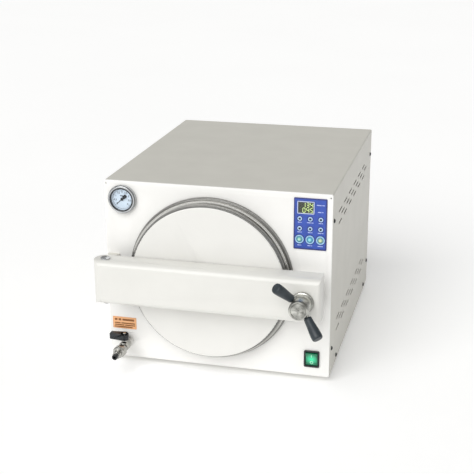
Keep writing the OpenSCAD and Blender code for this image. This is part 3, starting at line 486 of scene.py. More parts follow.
# Stainless steel, faced on a lathe: bright rings, a lit copy of the steel whose brightness is a painted
# highlight, with darker streaks across them that are painted reflections
TURNED_STEEL = TurnedMetal("stainless_turned", "#DDDCD8", "#A4A39F", 0.27, grain_mm=0.7, drift_mm=5.0)
# The collar and the door's rim take a shaded copy of the steel: darker, as painted shade for the shade their
# neighbours cast, and with a rougher, coarser cut
SHADED_STEEL = TurnedMetal("stainless_painted_shade", "#A3A29F", "#6E6D6A", 0.36, grain_mm=0.9, drift_mm=4.0)
# Stainless sheet, brushed along its length: a soft grey with long fine lines
BRUSHED_STEEL = PlainMetal(
    "stainless_brushed", "#B9BBBC", "#A9ABAC", 0.32, grain=Grain.BRUSHED, grain_mm=0.5, bump_mm=0.008
)
# Chromium plate over turned steel: near a mirror, with a little handling haze; the bright and dark streaks
# round its axis are painted reflections
CHROME = TurnedMetal("chrome_plate", "#D0D2D4", "#9C9EA0", 0.13, grain_mm=0.9, bump_mm=0.003, drift_mm=9.0)
# The knob's hub, faced on a lathe and left bare: its contrasting light and dark sectors are painted highlight
# and painted shade, for the wedge of light that a turned face reflects
HUB_STEEL = TurnedMetal(
    "steel_faced", "#D0D0CA", "#74746F", 0.27, 0.08, grain_mm=0.8, bump_mm=0.003, drift_mm=12.0
)
# Nickel plate on cast brass: yellower and duller than chrome, and nearly white where it is blasted matt
NICKEL = PlainMetal("nickel_plate", "#C2C1BC", "#9A9994", 0.2, grain_mm=1.2, bump_mm=0.012, drift_mm=6.0)
PALE_NICKEL = PlainMetal("nickel_matt", "#E8E7E4", "#DCDAD6", 0.36, 0.06, 0.2, grain_mm=1.2, drift_mm=6.0)
# Milled steel with a film of oil: mid grey and even
MACHINED_STEEL = PlainMetal("steel_machined", "#93969A", "#7F8286", 0.35, grain_mm=0.8, drift_mm=20.0)
# Small screws: blackened by oxide, or zinc-plated to a pale satin
BLACK_OXIDE = PlainMetal("black_oxide", "#4A4C4E", "#38393B", 0.3, grain_mm=0.6, bump_mm=0.006, drift_mm=3.0)
ZINC = PlainMetal("zinc_plate", "#C9C9C6", "#AEAEAA", 0.28, grain_mm=0.6, bump_mm=0.006, drift_mm=3.0)
# Turned brass and drawn copper tube, both browned in patches by heat
BRASS = TurnedMetal(
    "brass_turned", "#C9A457", "#A98644", 0.27, 0.08, grain_mm=0.6, bump_mm=0.01, drift_mm=8.0
)
COPPER = PlainMetal("copper_tube", "#B96F4A", "#94563A", 0.3, drift_mm=12.0)
# Phenolic resin: dark slate with a soft sheen and fine flow marks
GRIP_SLATE = Moulded(
    "phenolic_slate", "#2B343A", "#242C32", 0.42, 0.07, grain_mm=0.9, bump_mm=0.012, drift_mm=10.0
)
# Nylon with a coarse texture, and ABS with a fine one
LEVER_BLACK = Moulded("nylon_black", "#22272B", "#1B1F23", 0.4, 0.08, bump_mm=0.02, drift_mm=8.0)
BLACK_PLASTIC = Moulded("abs_black", "#17191B", "#1F2224", 0.38, 0.08, grain_mm=0.7, bump_mm=0.012)
# Rubber takes the light flat: dusty black feet and a creamy door seal; the grey edge bead at the door is
# painted shade, a dark ring for the shade line round the door cover
RUBBER = Moulded("rubber_black", "#26282A", "#303234", 0.8, 0.08, grain_mm=0.9, bump_mm=0.03)
RIM_SHADE_GREY = Moulded("rim_painted_shade", "#4A4B4B", "#424343", 0.6, 0.06)
SILICONE = Moulded("silicone_white", "#E6E2DA", "#DCD7CD", 0.55, 0.06, grain_mm=1.0, drift_mm=15.0)
# Smoke-tinted acrylic in a pale frame: a glossy dark window
DISPLAY_DARK = Moulded(
    "acrylic_tinted", "#3A4038", "#434941", 0.15, grain_mm=2.0, bump_mm=0.002, drift_mm=8.0, coat=0.3
)
DISPLAY_FRAME = Moulded("abs_pale_blue", "#C9D2EE", "#BCC6E8", 0.35, 0.06, bump_mm=0.006, drift_mm=6.0)
# Domed polycarbonate over a dark epoxy lamp: both glint
LENS_PALE = Moulded(
    "polycarbonate_pale", "#B9D3F2", "#A9C8EC", 0.2, grain_mm=1.0, bump_mm=0.004, drift_mm=3.0, coat=0.4
)
LED_DARK = Moulded("epoxy_dark", "#16283C", "#10202F", 0.15, bump_mm=0.002, drift_mm=2.0, coat=0.5)
PRINT_PALE = Ink("ink_pale", "#BFCBF2", "#AEBBEA", drift_mm=2.0)
PRINT_NAVY = Ink("ink_navy", "#27307A", "#212A6C", 0.45, drift_mm=4.0)
PRINT_BLACK = Ink("ink_black", "#23272B", "#2D3136", grain_mm=0.4, drift_mm=2.0)
PRINT_BROWN = Ink("ink_brown", "#8A5527", "#96602F")
PRINT_AMBER = Ink("ink_amber", "#DD9A5C", "#D68F50")
MARK_PALE = Ink("ink_pale_green", "#B9F2D6", "#AEEACC", 0.4)
# Laminated label film: a flat pale orange with a dull gloss
LABEL_ORANGE = Ink(
    "label_film_orange", "#F7C08E", "#F3B782", 0.42, grain_mm=0.8, bump_mm=0.004, drift_mm=9.0
)
# Baked enamel: a clean white dial, which glows a little as painted light for the light that reaches it
# through its glass, and a dull black pointer
DIAL_WHITE = Finish(
    "enamel_dial", "#F2F4F8", "#EBEEF4", 0.35, grain_mm=1.0, bump_mm=0.002, drift_mm=9.0, own_light=0.15
)
MATT_BLACK = Finish(
    "matt_black_enamel", "#15181B", "#1C2023", 0.5, 0.06, grain_mm=0.6, bump_mm=0.004, drift_mm=6.0
)
# Solder mask over copper tracks: a clear dark green
BOARD_GREEN = Finish("solder_mask", "#2A6238", "#234F2E", 0.3, 0.06, grain_mm=1.2, drift_mm=5.0)
# Felted glass wool, drawn coarser than its real fibre so that it shows: yellowish and quite matt
GLASS_WOOL = Finish(
    "glass_wool_felt", "#D3C894", "#B9AD78", 0.9, grain=Grain.FIBRE, grain_mm=2.5, bump_mm=0.6,
    drift_mm=25.0, sheen=0.3,
)
# Natural polypropylene: milky and waxy
TANK_WHITE = Moulded("polypropylene_natural", "#DDDCD5", "#D2D1C9", 0.4, grain_mm=1.4, drift_mm=30.0)
WIRE_SLEEVE = Moulded("pvc_sleeve", "#1D1F22", "#292B2E", 0.5, 0.08, grain_mm=0.9, bump_mm=0.03)
# Iron laminations under varnish: dark, with the sheets' edges as fine lines
VARNISHED = Finish(
    "varnished_laminations", "#565A60", "#484B50", 0.45, 0.08, 0.4, Grain.BRUSHED, grain_mm=0.5, bump_mm=0.04
)
# Paper backdrop: a bright matt white
FLOOR_WHITE = Finish(
    "floor_white", "#FBFBFB", "#F8F8F8", 0.7, grain_mm=40.0, bump_mm=0.02, drift_mm=800.0, own_light=0.2
)
GAUGE_GLASS = ClearGlass("gauge_glass", "#F4F8FB", "#F4F8FB", 0.04, 0.02, grain_mm=3.0, bump_mm=0.001)
# Polyester film over blue print: a slight gloss, and a darker border
OVERLAY = FramedFilm(
    "polyester_overlay", "#3454B4", "#2C4BA8", 0.34, grain_mm=0.7, bump_mm=0.004, drift_mm=14.0, coat=0.2
)
# Translucent green polycarbonate with a lamp behind its middle
ROCKER = LitFinish(
    "polycarbonate_green_lit", "#15805A", "#106E4C", 0.3, grain_mm=1.0, bump_mm=0.004, drift_mm=8.0,
    coat=0.4, core="#36D79C", core_mm=2.0, reach_mm=12.5, glow=0.25,
)
# Segments of the display, lit all over or dark
DIGIT_LIT = LitFinish(
    "led_segment_lit", "#CFE39A", "#DDEBB4", 0.3, grain_mm=0.8, bump_mm=0.001, drift_mm=2.0,
    core="#D3E8A0", core_mm=20.0, reach_mm=40.0, glow=0.35,
)
DIGIT_DARK = Moulded("led_segment_dark", "#5F6552", "#555B49", 0.4, bump_mm=0.001, drift_mm=2.0)
KEY_EDGE = "#2F6C98"
KEY_RING = "#A6CFF0"


def key_finish(name: str, core: str, band: str) -> LitFinish:
    """Makes the finish of a push button.

    Args:
        name: the material's name.
        core: colour of the button's middle.
        band: colour of the band round the middle.

    Returns:
        A moulded finish with a coloured middle, a darker band, a thin dark line and a pale rim.
    """
    return LitFinish(
        name, core, core, 0.28, grain_mm=0.9, bump_mm=0.004, drift_mm=5.0, coat=0.3,
        core=core, core_mm=2.0, reach_mm=3.4, rings=((2.8, band), (4.9, KEY_EDGE), (6.0, KEY_RING)),
    )


# ---------------------------------------------------------------- modelling by hand


def start_clean() -> None:
    """Deselects everything, as before a primitive is added."""
    for other in bpy.context.selected_objects:
        other.select_set(False)


def pick(piece: Piece) -> Piece:
    """Selects one object alone and makes it active.

    Args:
        piece: the object.

    Returns:
        The same object.
    """
    start_clean()
    piece.select_set(True)
    bpy.context.view_layer.objects.active = piece
    return piece


def in_edit_mode(piece: Piece, *steps: Callable[[], Any]) -> None:
    """Runs operators on the whole mesh in edit mode.

    Args:
        piece: object to edit.
        steps: calls to run, with every vertex selected before each.
    """
    pick(piece)
    bpy.ops.object.mode_set(mode="EDIT")
    for step in steps:
        bpy.ops.mesh.select_all(action="SELECT")
        step()
    bpy.ops.object.mode_set(mode="OBJECT")


def settle(piece: Piece) -> Piece:
    """Moves an object's place, turn and scale into its mesh, so that it sits at the origin.

    Args:
        piece: the object.

    Returns:
        The same object.
    """
    pick(piece)
    bpy.ops.object.transform_apply(location=True, rotation=True, scale=True)
    return piece


def bevelled(piece: Piece, width_mm: float, segments: int) -> Piece:
    """Rounds an object's sharp edges and shades the rest smooth.

    Args:
        piece: object to round.
        width_mm: width of the rounding.
        segments: faces across it.

    Returns:
        The same object.
    """
    pick(piece)
    bevel = piece.modifiers.new("round", "BEVEL")
    bevel.width = width_mm * MM
    bevel.segments = segments
    bevel.limit_method = "ANGLE"
    bevel.angle_limit = math.radians(SMOOTH_DEG)
    bevel.use_clamp_overlap = False
    bpy.ops.object.modifier_apply(modifier=bevel.name)
    bpy.ops.object.shade_smooth_by_angle(angle=math.radians(SMOOTH_DEG))
    return piece


def bar(name: str, centre: Vector, size: Vector, corner_mm: float) -> Piece:
    """Models a flat bar with round corners that faces forward.

    Args:
        name: the piece's name.
        centre: its middle.
        size: its width, thickness and height.
        corner_mm: radius of its corners.

    Returns:
        The bar.
    """
    start_clean()
    bpy.ops.mesh.primitive_cube_add(size=1, location=centre)
    piece = bpy.context.object
    piece.name = name
    piece.scale = size
    settle(piece)
    mesh = piece.data
    for part in (*mesh.vertices, *mesh.edges, *mesh.polygons):
        part.select = False
    # Only the four edges that run from front to rear are rounded
    for edge in mesh.edges:
        first, second = (mesh.vertices[i].co for i in edge.vertices)
        edge.select = abs((second - first).normalized().y) > 0.9
    bpy.ops.object.mode_set(mode="EDIT")
    bpy.ops.mesh.bevel(offset=corner_mm * MM, segments=4, affect="EDGES")
    bpy.ops.object.mode_set(mode="OBJECT")
    bpy.ops.object.shade_smooth_by_angle(angle=math.radians(SMOOTH_DEG))
    return piece


def turned(
    name: str,
    profile_mm: Pairs,
    centre: Vector,
    axis: Vector = Vector((0, -1, 0)),
    steps: int = 96,
) -> Piece:
    """Turns a closed profile round an axis, as on a lathe.

    Args:
        name: the piece's name.
        profile_mm: corners of the profile, as (radius, distance along the axis).
        centre: point on the axis that the distances start from.
        axis: direction of the axis.
        steps: faces round the piece.

    Returns:
        The turned piece.
    """
    start_clean()
    bpy.ops.mesh.primitive_circle_add(vertices=len(profile_mm), radius=1)
    piece = bpy.context.object
    piece.name = name
    outward = axis.orthogonal().normalized()
    for vertex, (radius, along) in zip(piece.data.vertices, profile_mm):
        vertex.co = centre + outward * radius * MM + axis * along * MM
    in_edit_mode(
        piece,
        lambda: bpy.ops.mesh.spin(steps=steps, angle=math.tau, center=centre, axis=axis),
        lambda: bpy.ops.mesh.remove_doubles(threshold=0.002 * MM),
        lambda: bpy.ops.mesh.normals_make_consistent(inside=False),
    )
    bpy.ops.object.shade_smooth_by_angle(angle=math.radians(SMOOTH_DEG))
    return piece


def numeral(name: str, text: str, centre: Vector, height_mm: float) -> Piece:
    """Models a printed number that faces forward.

    Args:
        name: the piece's name.
        text: digits to print.
        centre: middle of the number.
        height_mm: height of its digits.

    Returns:
        The number as a mesh.
    """
    start_clean()
    bpy.ops.object.text_add(location=centre, rotation=(math.pi / 2, 0, 0))
    piece = bpy.context.object
    piece.name = name
    piece.data.body = text
    piece.data.align_x = "CENTER"
    piece.data.align_y = "CENTER"
    # A digit of the built-in face is 0.7 of its size high
    piece.data.size = height_mm * MM / 0.7
    # The digits are thinner than the printed bars, and are extruded to both sides
    piece.data.extrude = 0.3 * PRINT_MM * MM
    piece.data.offset = 0.03 * height_mm * MM
    piece.data.resolution_u = 3
    bpy.ops.object.convert(target="MESH")
    piece = bpy.context.object
    in_edit_mode(piece, lambda: bpy.ops.mesh.remove_doubles(threshold=0.001 * MM))
    return settle(piece)


def copied(piece: Piece, name: str, move: Matrix) -> Piece:
    """Copies a piece, with its own mesh, to another place.

    Args:
        piece: piece to copy.
        name: the copy's name.
        move: how the copy is moved.

    Returns:
        The copy.
    """
    copy = piece.copy()
    copy.name = name
    copy.data = piece.data.copy()
    copy.data.transform(move)
    bpy.context.scene.collection.objects.link(copy)
    return copy


def joined(name: str, pieces: Sequence[Piece]) -> Piece:
    """Joins objects into one piece.

    Args:
        name: the piece's name.
        pieces: objects to join.

    Returns:
        The joined piece.
    """
    pick(pieces[0])
    for other in pieces[1:]:
        other.select_set(True)
    if len(pieces) > 1:
        bpy.ops.object.join()
    pieces[0].name = name
    return pieces[0]


def painted(piece: Piece, material: bpy.types.Material) -> Piece:
    """Gives a piece one material all over.

    Args:
        piece: the piece.
        material: its material.

    Returns:
        The same piece.
    """
    piece.data.materials.clear()
    piece.data.materials.append(material)
    for face in piece.data.polygons:
        face.material_index = 0
    return piece


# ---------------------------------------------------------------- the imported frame


@dataclass
class Autoclave:
    """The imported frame, with the places that the sub-assemblies share.

    Attributes:
        slots: the record's material slot of each node.
        bodies: the body of each node.
    """

    frame: dict[str, Any]
    slots: dict[str, str] = field(default_factory=dict)
    bodies: dict[str, str] = field(default_factory=dict)

    def __post_init__(self) -> None:
        """Reads each node's slot and body from the record."""
        record = self.frame["record"]
        self.slots = {part["node"]: part["material_slot"] for part in record["subparts"]}
        for body, nodes in record["behaviour"]["bodies"].items():
            self.bodies.update({node: body for node in nodes})

    def middle(self, node: str) -> Vector:
        """Returns the middle of a node's box."""
        low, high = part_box(node)
        return (low + high) / 2

    def face(self, node: str) -> float:
        """Returns the Y of a node's foremost point."""
        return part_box(node)[0].y

    def size_mm(self, node: str) -> Vector:
        """Returns the size of a node's box in millimetres."""
        low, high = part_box(node)
        return (high - low) / MM

    def front_of(self, node: str, across_mm: float = 0, up_mm: float = 0, out_mm: float = 0) -> Vector:
        """Returns a point on the front of a node.

        Args:
            node: the node.
            across_mm: distance to the right of its middle.
            up_mm: distance above its middle.
            out_mm: distance in front of its foremost point.

        Returns:
            The point.
        """
        middle = self.middle(node)
        return Vector((middle.x + across_mm * MM, self.face(node) - out_mm * MM, middle.z + up_mm * MM))

    def front_at(self, node: str, x: float, z: float) -> tuple[Vector, float]:
        """Finds where a line drawn from the front meets a node.

        Args:
            node: the node.
            x: where the line runs, from left to right.
            z: where the line runs, in height.

        Returns:
            The point where it meets the node, and how far the surface there tilts upwards, in radians.
        """
        mesh = self.frame["nodes"][node].data
        tree = BVHTree.FromPolygons([v.co for v in mesh.vertices], [f.vertices for f in mesh.polygons])
        point, normal, _, _ = tree.ray_cast(Vector((x, self.face(node) - 10 * MM, z)), Vector((0, 1, 0)))
        return point, math.atan2(normal.z, -normal.y)

    def dress(self, finish: Finish, *nodes: str, centre: Vector | None = None) -> bpy.types.Material:
        """Gives CAD nodes one finish.

        Args:
            finish: the finish.
            nodes: the nodes.
            centre: point that the finish's pattern runs round; the first node's middle if it is left out.

        Returns:
            The material, so that more pieces can take it.
        """
        material = finish.material(self.middle(nodes[0]) if centre is None else centre)
        for name in nodes:
            node = self.frame["nodes"][name]
            if not node.data.materials:
                node.data.materials.append(material)
            for place in node.material_slots:
                place.material = material
        return material

    def soften(self, node: str, width_mm: float, segments: int) -> Piece:
        """Models a copy of a node with rounded edges, which stands for it.

        Args:
            node: the node, which already has its finish.
            width_mm: width of the rounding.
            segments: faces across it.

        Returns:
            The softened piece.
        """
        source = self.frame["nodes"][node]
        piece = bpy.data.objects.new(f"{node}_softened", source.data.copy())
        bpy.context.scene.collection.objects.link(piece)
        pick(piece)
        bpy.ops.mesh.customdata_custom_splitnormals_clear()
        in_edit_mode(
            piece,
            lambda: bpy.ops.mesh.remove_doubles(threshold=MERGE_MM * MM),
            lambda: bpy.ops.mesh.dissolve_limited(angle_limit=math.radians(FLAT_DEG)),
        )
        bevelled(piece, width_mm, segments)
        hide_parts(node)
        return self.fit(piece, self.bodies[node], self.slots[node])

    def fit(self, piece: Piece, body: str, slot: str, material: bpy.types.Material | None = None) -> Piece:
        """Fits a finished piece to its body.

        Args:
            piece: the piece, in place.
            body: body that it rides on.
            slot: not used.
            material: its material, if it has none yet.

        Returns:
            The piece.
        """
        if material is not None:
            painted(piece, material)
        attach(piece, body)
        LOG.info("%s rides on %s, %d faces", piece.name, body, len(piece.data.polygons))
        return piece


# ---------------------------------------------------------------- sub-assemblies


@dataclass
class SubAssembly:
    """Pieces that belong together.

    Attributes:
        unit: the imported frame.
        rounds: nodes that get rounded edges.
    """

    unit: Autoclave
    rounds: Rounds = ()

    def soften(self) -> None:
        """Rounds the edges of the nodes that are named in rounds."""
        for node, width_mm, segments in self.rounds:
            self.unit.soften(node, width_mm, segments)


@dataclass
class Casing(SubAssembly):
    """The sheet-metal casing, its feet, screws and rear fittings."""

    rounds: Rounds = (
        ("front_panel", 0.45, 3), ("rear_panel", 0.45, 3), ("feet", 1.2, 3),
        ("power_inlet", 0.3, 2), ("fuse_holders", 0.5, 2), ("safety_valve", 0.4, 2),
    )

    def build(self) -> None:
        """Dresses the casing and rounds its folds and fittings."""
        unit = self.unit
        unit.dress(COVER_GREY, "outer_cover", "rear_panel", "base_plate", "chamber_cradles")
        unit.dress(PANEL_WHITE, "front_panel")
        unit.dress(RUBBER, "feet")
        unit.dress(BLACK_OXIDE, "case_screws")
        unit.dress(BLACK_PLASTIC, "power_inlet", "fuse_holders")
        unit.dress(BRASS, "safety_valve")
        unit.dress(CHROME, "safety_ring")
        self.soften()


@dataclass
class Chamber(SubAssembly):
    """The pressure chamber, what surrounds it and what stands in it."""

    rounds: Rounds = (("chamber_flange", 0.7, 3), ("panel_collar", 0.7, 3))

    def build(self) -> None:
        """Dresses the chamber and softens the rings that show at its mouth."""
        unit = self.unit
        axis = unit.middle("chamber_flange")
        unit.dress(TURNED_STEEL, "chamber_flange", "chamber_head", centre=axis)
        unit.dress(SHADED_STEEL, "panel_collar", centre=axis)
        unit.dress(BRUSHED_STEEL, "chamber", "tray_rack", "tray_low", "tray_middle", "tray_high")
        unit.dress(GLASS_WOOL, "insulation_jacket")
        unit.dress(VARNISHED, "heater_band", "transformer")
        unit.dress(MACHINED_STEEL, "chamber_probes")
        unit.dress(TANK_WHITE, "water_tank")
        unit.dress(BLACK_PLASTIC, "solenoid_valves")
        unit.dress(COPPER, "copper_pipes")
        unit.dress(BOARD_GREEN, "control_board")
        unit.dress(WIRE_SLEEVE, "wiring_harness")
        self.soften()


@dataclass
class DoorArm(SubAssembly):
    """The door and the clamp arm that carries it, with its hinge and keeper.

    Attributes:
        bead_back_mm: how far the edge bead sits behind the cover's front.
        bead_half_mm: half the bead's width.
        bead_out_mm: how far it stands out past the rim.
        bead_in_mm: how far it reaches inside the rim.
    """

    rounds: Rounds = (
        ("door_plate", 0.7, 3), ("door_cover", 0.5, 2), ("arm_shell", 0.7, 3), ("latch_keeper", 1.0, 3),
        ("hinge_bracket", 1.0, 3), ("hinge_pin", 0.5, 2), ("arm_beam", 0.8, 2),
    )
    bead_back_mm: float = 2.6
    bead_half_mm: float = 0.7
    bead_out_mm: float = 0.7
    bead_in_mm: float = 0.8

    def build(self) -> None:
        """Dresses the door and arm, softens their edges and rings the door cover's rim with a dark bead as a
        painted shade line.
        """
        unit = self.unit
        unit.dress(SHADED_STEEL, "door_plate")
        unit.dress(DOOR_WHITE, "door_cover")
        unit.dress(ARM_WHITE, "arm_shell", "latch_keeper")
        unit.dress(COVER_GREY, "hinge_bracket")
        unit.dress(SILICONE, "door_seal")
        unit.dress(MACHINED_STEEL, "arm_beam", "door_stud", "clamp_screw")
        unit.dress(BRASS, "hinge_bushes", "clamp_sleeve")
        unit.dress(CHROME, "hinge_pin")
        self.soften()
        self.add_bead()

    def add_bead(self) -> None:
        """Models the grey bead that runs round the door cover's rim, a dark ring of painted shade for the
        shade line at its edge.
        """
        unit = self.unit
        radius = unit.size_mm("door_cover").x / 2
        inner, outer, half = radius - self.bead_in_mm, radius + self.bead_out_mm, self.bead_half_mm
        shoulder = outer - half / 2
        profile = [(inner, -half), (shoulder, -half), (outer, 0.0), (shoulder, half), (inner, half)]
        centre = unit.front_of("door_cover", out_mm=-self.bead_back_mm)
        bead = turned("door_rim_shade_line", profile, centre, steps=160)
        unit.fit(bead, unit.bodies["door_cover"], unit.slots["door_seal"], RIM_SHADE_GREY.material())


@dataclass
class ClampKnob(SubAssembly):
    """The clamp's hub and its two grips.

    Attributes:
        pip_mm: profile of the pip at the hub's centre, as (radius, height).
        flat_mm: distance from the axis at which the hub's face is flat.
    """

    rounds: Rounds = (("clamp_hub", 0.5, 3), ("clamp_grips", 0.5, 3))
    pip_mm: Pairs = ((0.0, -1.0), (3.0, -1.0), (2.6, 0.4), (1.4, 0.9), (0.0, 1.0))
    flat_mm: float = 8.0

    def build(self) -> None:
        """Dresses the knob and adds the centre pip that the lathe left on its face."""
        unit = self.unit
        axis = unit.middle("clamp_screw")
        hub = unit.dress(HUB_STEEL, "clamp_hub", centre=axis)
        unit.dress(GRIP_SLATE, "clamp_grips")
        self.soften()
        face = Vector((axis.x, unit.front_at("clamp_hub", axis.x + self.flat_mm * MM, axis.z)[0].y, axis.z))
        pip = turned("hub_pip", self.pip_mm, face, steps=48)
        unit.fit(pip, unit.bodies["clamp_hub"], unit.slots["clamp_hub"], hub)


@dataclass
class Gauge(SubAssembly):
    """The pressure gauge: dial print, rim gasket, pointer boss and counterweight.

    Attributes:
        dial_radius_mm: radius of the scale.
        first_deg: angle of the scale's start, counter-clockwise from the right.
        sweep_deg: length of the scale, clockwise.
        divisions: small divisions of the scale.
        numbers: printed numbers, spaced evenly along the scale.
        number_mm: height of the numbers.
        number_in_mm: how far inside the scale's circle they stand.
        gasket_mm: profile of the gasket, as (radius, distance in front of the panel).
        boss_mm: profile of the pointer's boss, as (radius, height).
        tail_mm: the counterweight's length, thickness and height.
        tail_reach_mm: distance from the pointer's axis to the counterweight's middle.
    """

    rounds: Rounds = (("gauge_case", 0.5, 3),)
    dial_radius_mm: float = 19.6
    first_deg: float = 222.0
    sweep_deg: float = 264.0
    divisions: int = 40
    numbers: tuple[str, ...] = ("0", "0.5", "1", "1.5", "2", "2.5", "3", "3.5", "4")
    number_mm: float = 3.5
    number_in_mm: float = 5.2
    gasket_mm: Pairs = ((21.2, 7.5), (22.6, 7.5), (23.9, 9.2), (22.3, 9.4), (21.2, 8.6))
    boss_mm: Pairs = ((0.0, 0.0), (3.0, 0.0), (3.0, 0.7), (2.2, 1.2), (0.0, 1.3))
    tail_mm: tuple[float, float, float] = (7.6, 0.5, 6.6)
    tail_reach_mm: float = 7.4

    def build(self) -> None:
        """Dresses the gauge, prints its dial, and fits its gasket and pointer."""
        unit = self.unit
        axis = unit.middle("gauge_case")
        unit.dress(CHROME, "gauge_case", centre=axis)
        unit.dress(DIAL_WHITE, "gauge_dial")
        unit.dress(GAUGE_GLASS, "gauge_glass")
        black = unit.dress(MATT_BLACK, "gauge_pointer")
        self.soften()
        slot = unit.slots["gauge_pointer"]
        panel_face = Vector((axis.x, unit.face("front_panel"), axis.z))
        gasket = turned("gauge_gasket", self.gasket_mm, panel_face, steps=128)
        unit.fit(gasket, "casing", slot, black)
        self.print_scale(Vector((axis.x, unit.face("gauge_dial"), axis.z)))
        pointer_face = Vector((axis.x, unit.face("gauge_pointer"), axis.z))
        boss = turned("pointer_boss", self.boss_mm, pointer_face + Vector((0, 0.4 * MM, 0)), steps=48)
        unit.fit(boss, "pointer", slot, black)
        tail = bar("pointer_tail", pointer_face, Vector(self.tail_mm) * MM, 2.0)
        sunk = Matrix.Translation((0, self.tail_mm[1] * MM, 0))
        tail.data.transform(sunk @ self.swing(pointer_face, self.first_deg - 180, self.tail_reach_mm))
        unit.fit(tail, "pointer", slot, black)

    def at(self, centre: Vector, angle_deg: float, radius_mm: float) -> Vector:
        """Returns a point on the dial.

        Args:
            centre: middle of the dial.
            angle_deg: angle, counter-clockwise from the right.
            radius_mm: distance from the middle.

        Returns:
            The point.
        """
        angle = math.radians(angle_deg)
        return centre + Vector((math.cos(angle), 0, math.sin(angle))) * radius_mm * MM

    def swing(self, centre: Vector, angle_deg: float, radius_mm: float) -> Matrix:
        """Finds the move that takes a mark from the middle of the dial to its place, and turns it outwards.

        Args:
            centre: middle of the dial.
            angle_deg: angle of the place, counter-clockwise from the right.
            radius_mm: distance of the place from the middle.

        Returns:
            The move.
        """
        turn = Matrix.Rotation(-math.radians(angle_deg), 4, "Y")
        place = Matrix.Translation(self.at(centre, angle_deg, radius_mm))
        return place @ turn @ Matrix.Translation(-centre)

    def print_scale(self, centre: Vector) -> None:
        """Prints the scale's line, divisions and numbers.

        Args:
            centre: middle of the dial's face.
        """
        unit = self.unit
        ink = PRINT_BLACK.material(centre)
        radius = self.dial_radius_mm
        face = centre + Vector((0, -PRINT_MM / 2 * MM, 0))
        long_mark = bar("mark", face, Vector((2.6, PRINT_MM, 0.5)) * MM, 0.1)
        short_mark = bar("mark_short", face, Vector((1.4, PRINT_MM, 0.3)) * MM, 0.08)
        marks = []
        for i in range(self.divisions + 1):
            angle = self.first_deg - self.sweep_deg * i / self.divisions
            is_long = i % (self.divisions // (len(self.numbers) - 1)) == 0
            source, half = (long_mark, 1.3) if is_long else (short_mark, 0.7)
            marks.append(copied(source, f"mark_{i}", self.swing(centre, angle, radius - half)))
        for source in (long_mark, short_mark):
            bpy.data.objects.remove(source)
        outer = radius + 0.35
        profile = [(radius, 0), (outer, 0), (outer, PRINT_MM), (radius, PRINT_MM)]
        circle = turned("dial_circle", profile, centre)
        digits = []
        for i, text in enumerate(self.numbers):
            angle = self.first_deg - self.sweep_deg * i / (len(self.numbers) - 1)
            place = self.at(face, angle, radius - self.number_in_mm)
            digits.append(numeral(f"number_{i}", text, place, self.number_mm))
        above = face + Vector((0, 0, 6.2)) * MM
        unit_bar = bar("dial_unit_bar", above, Vector((9.0, PRINT_MM, 1.6)) * MM, 0.5)
        for piece in (joined("dial_marks", marks), circle, joined("dial_numbers", digits), unit_bar):
            unit.fit(piece, "casing", unit.slots["gauge_dial"], ink)


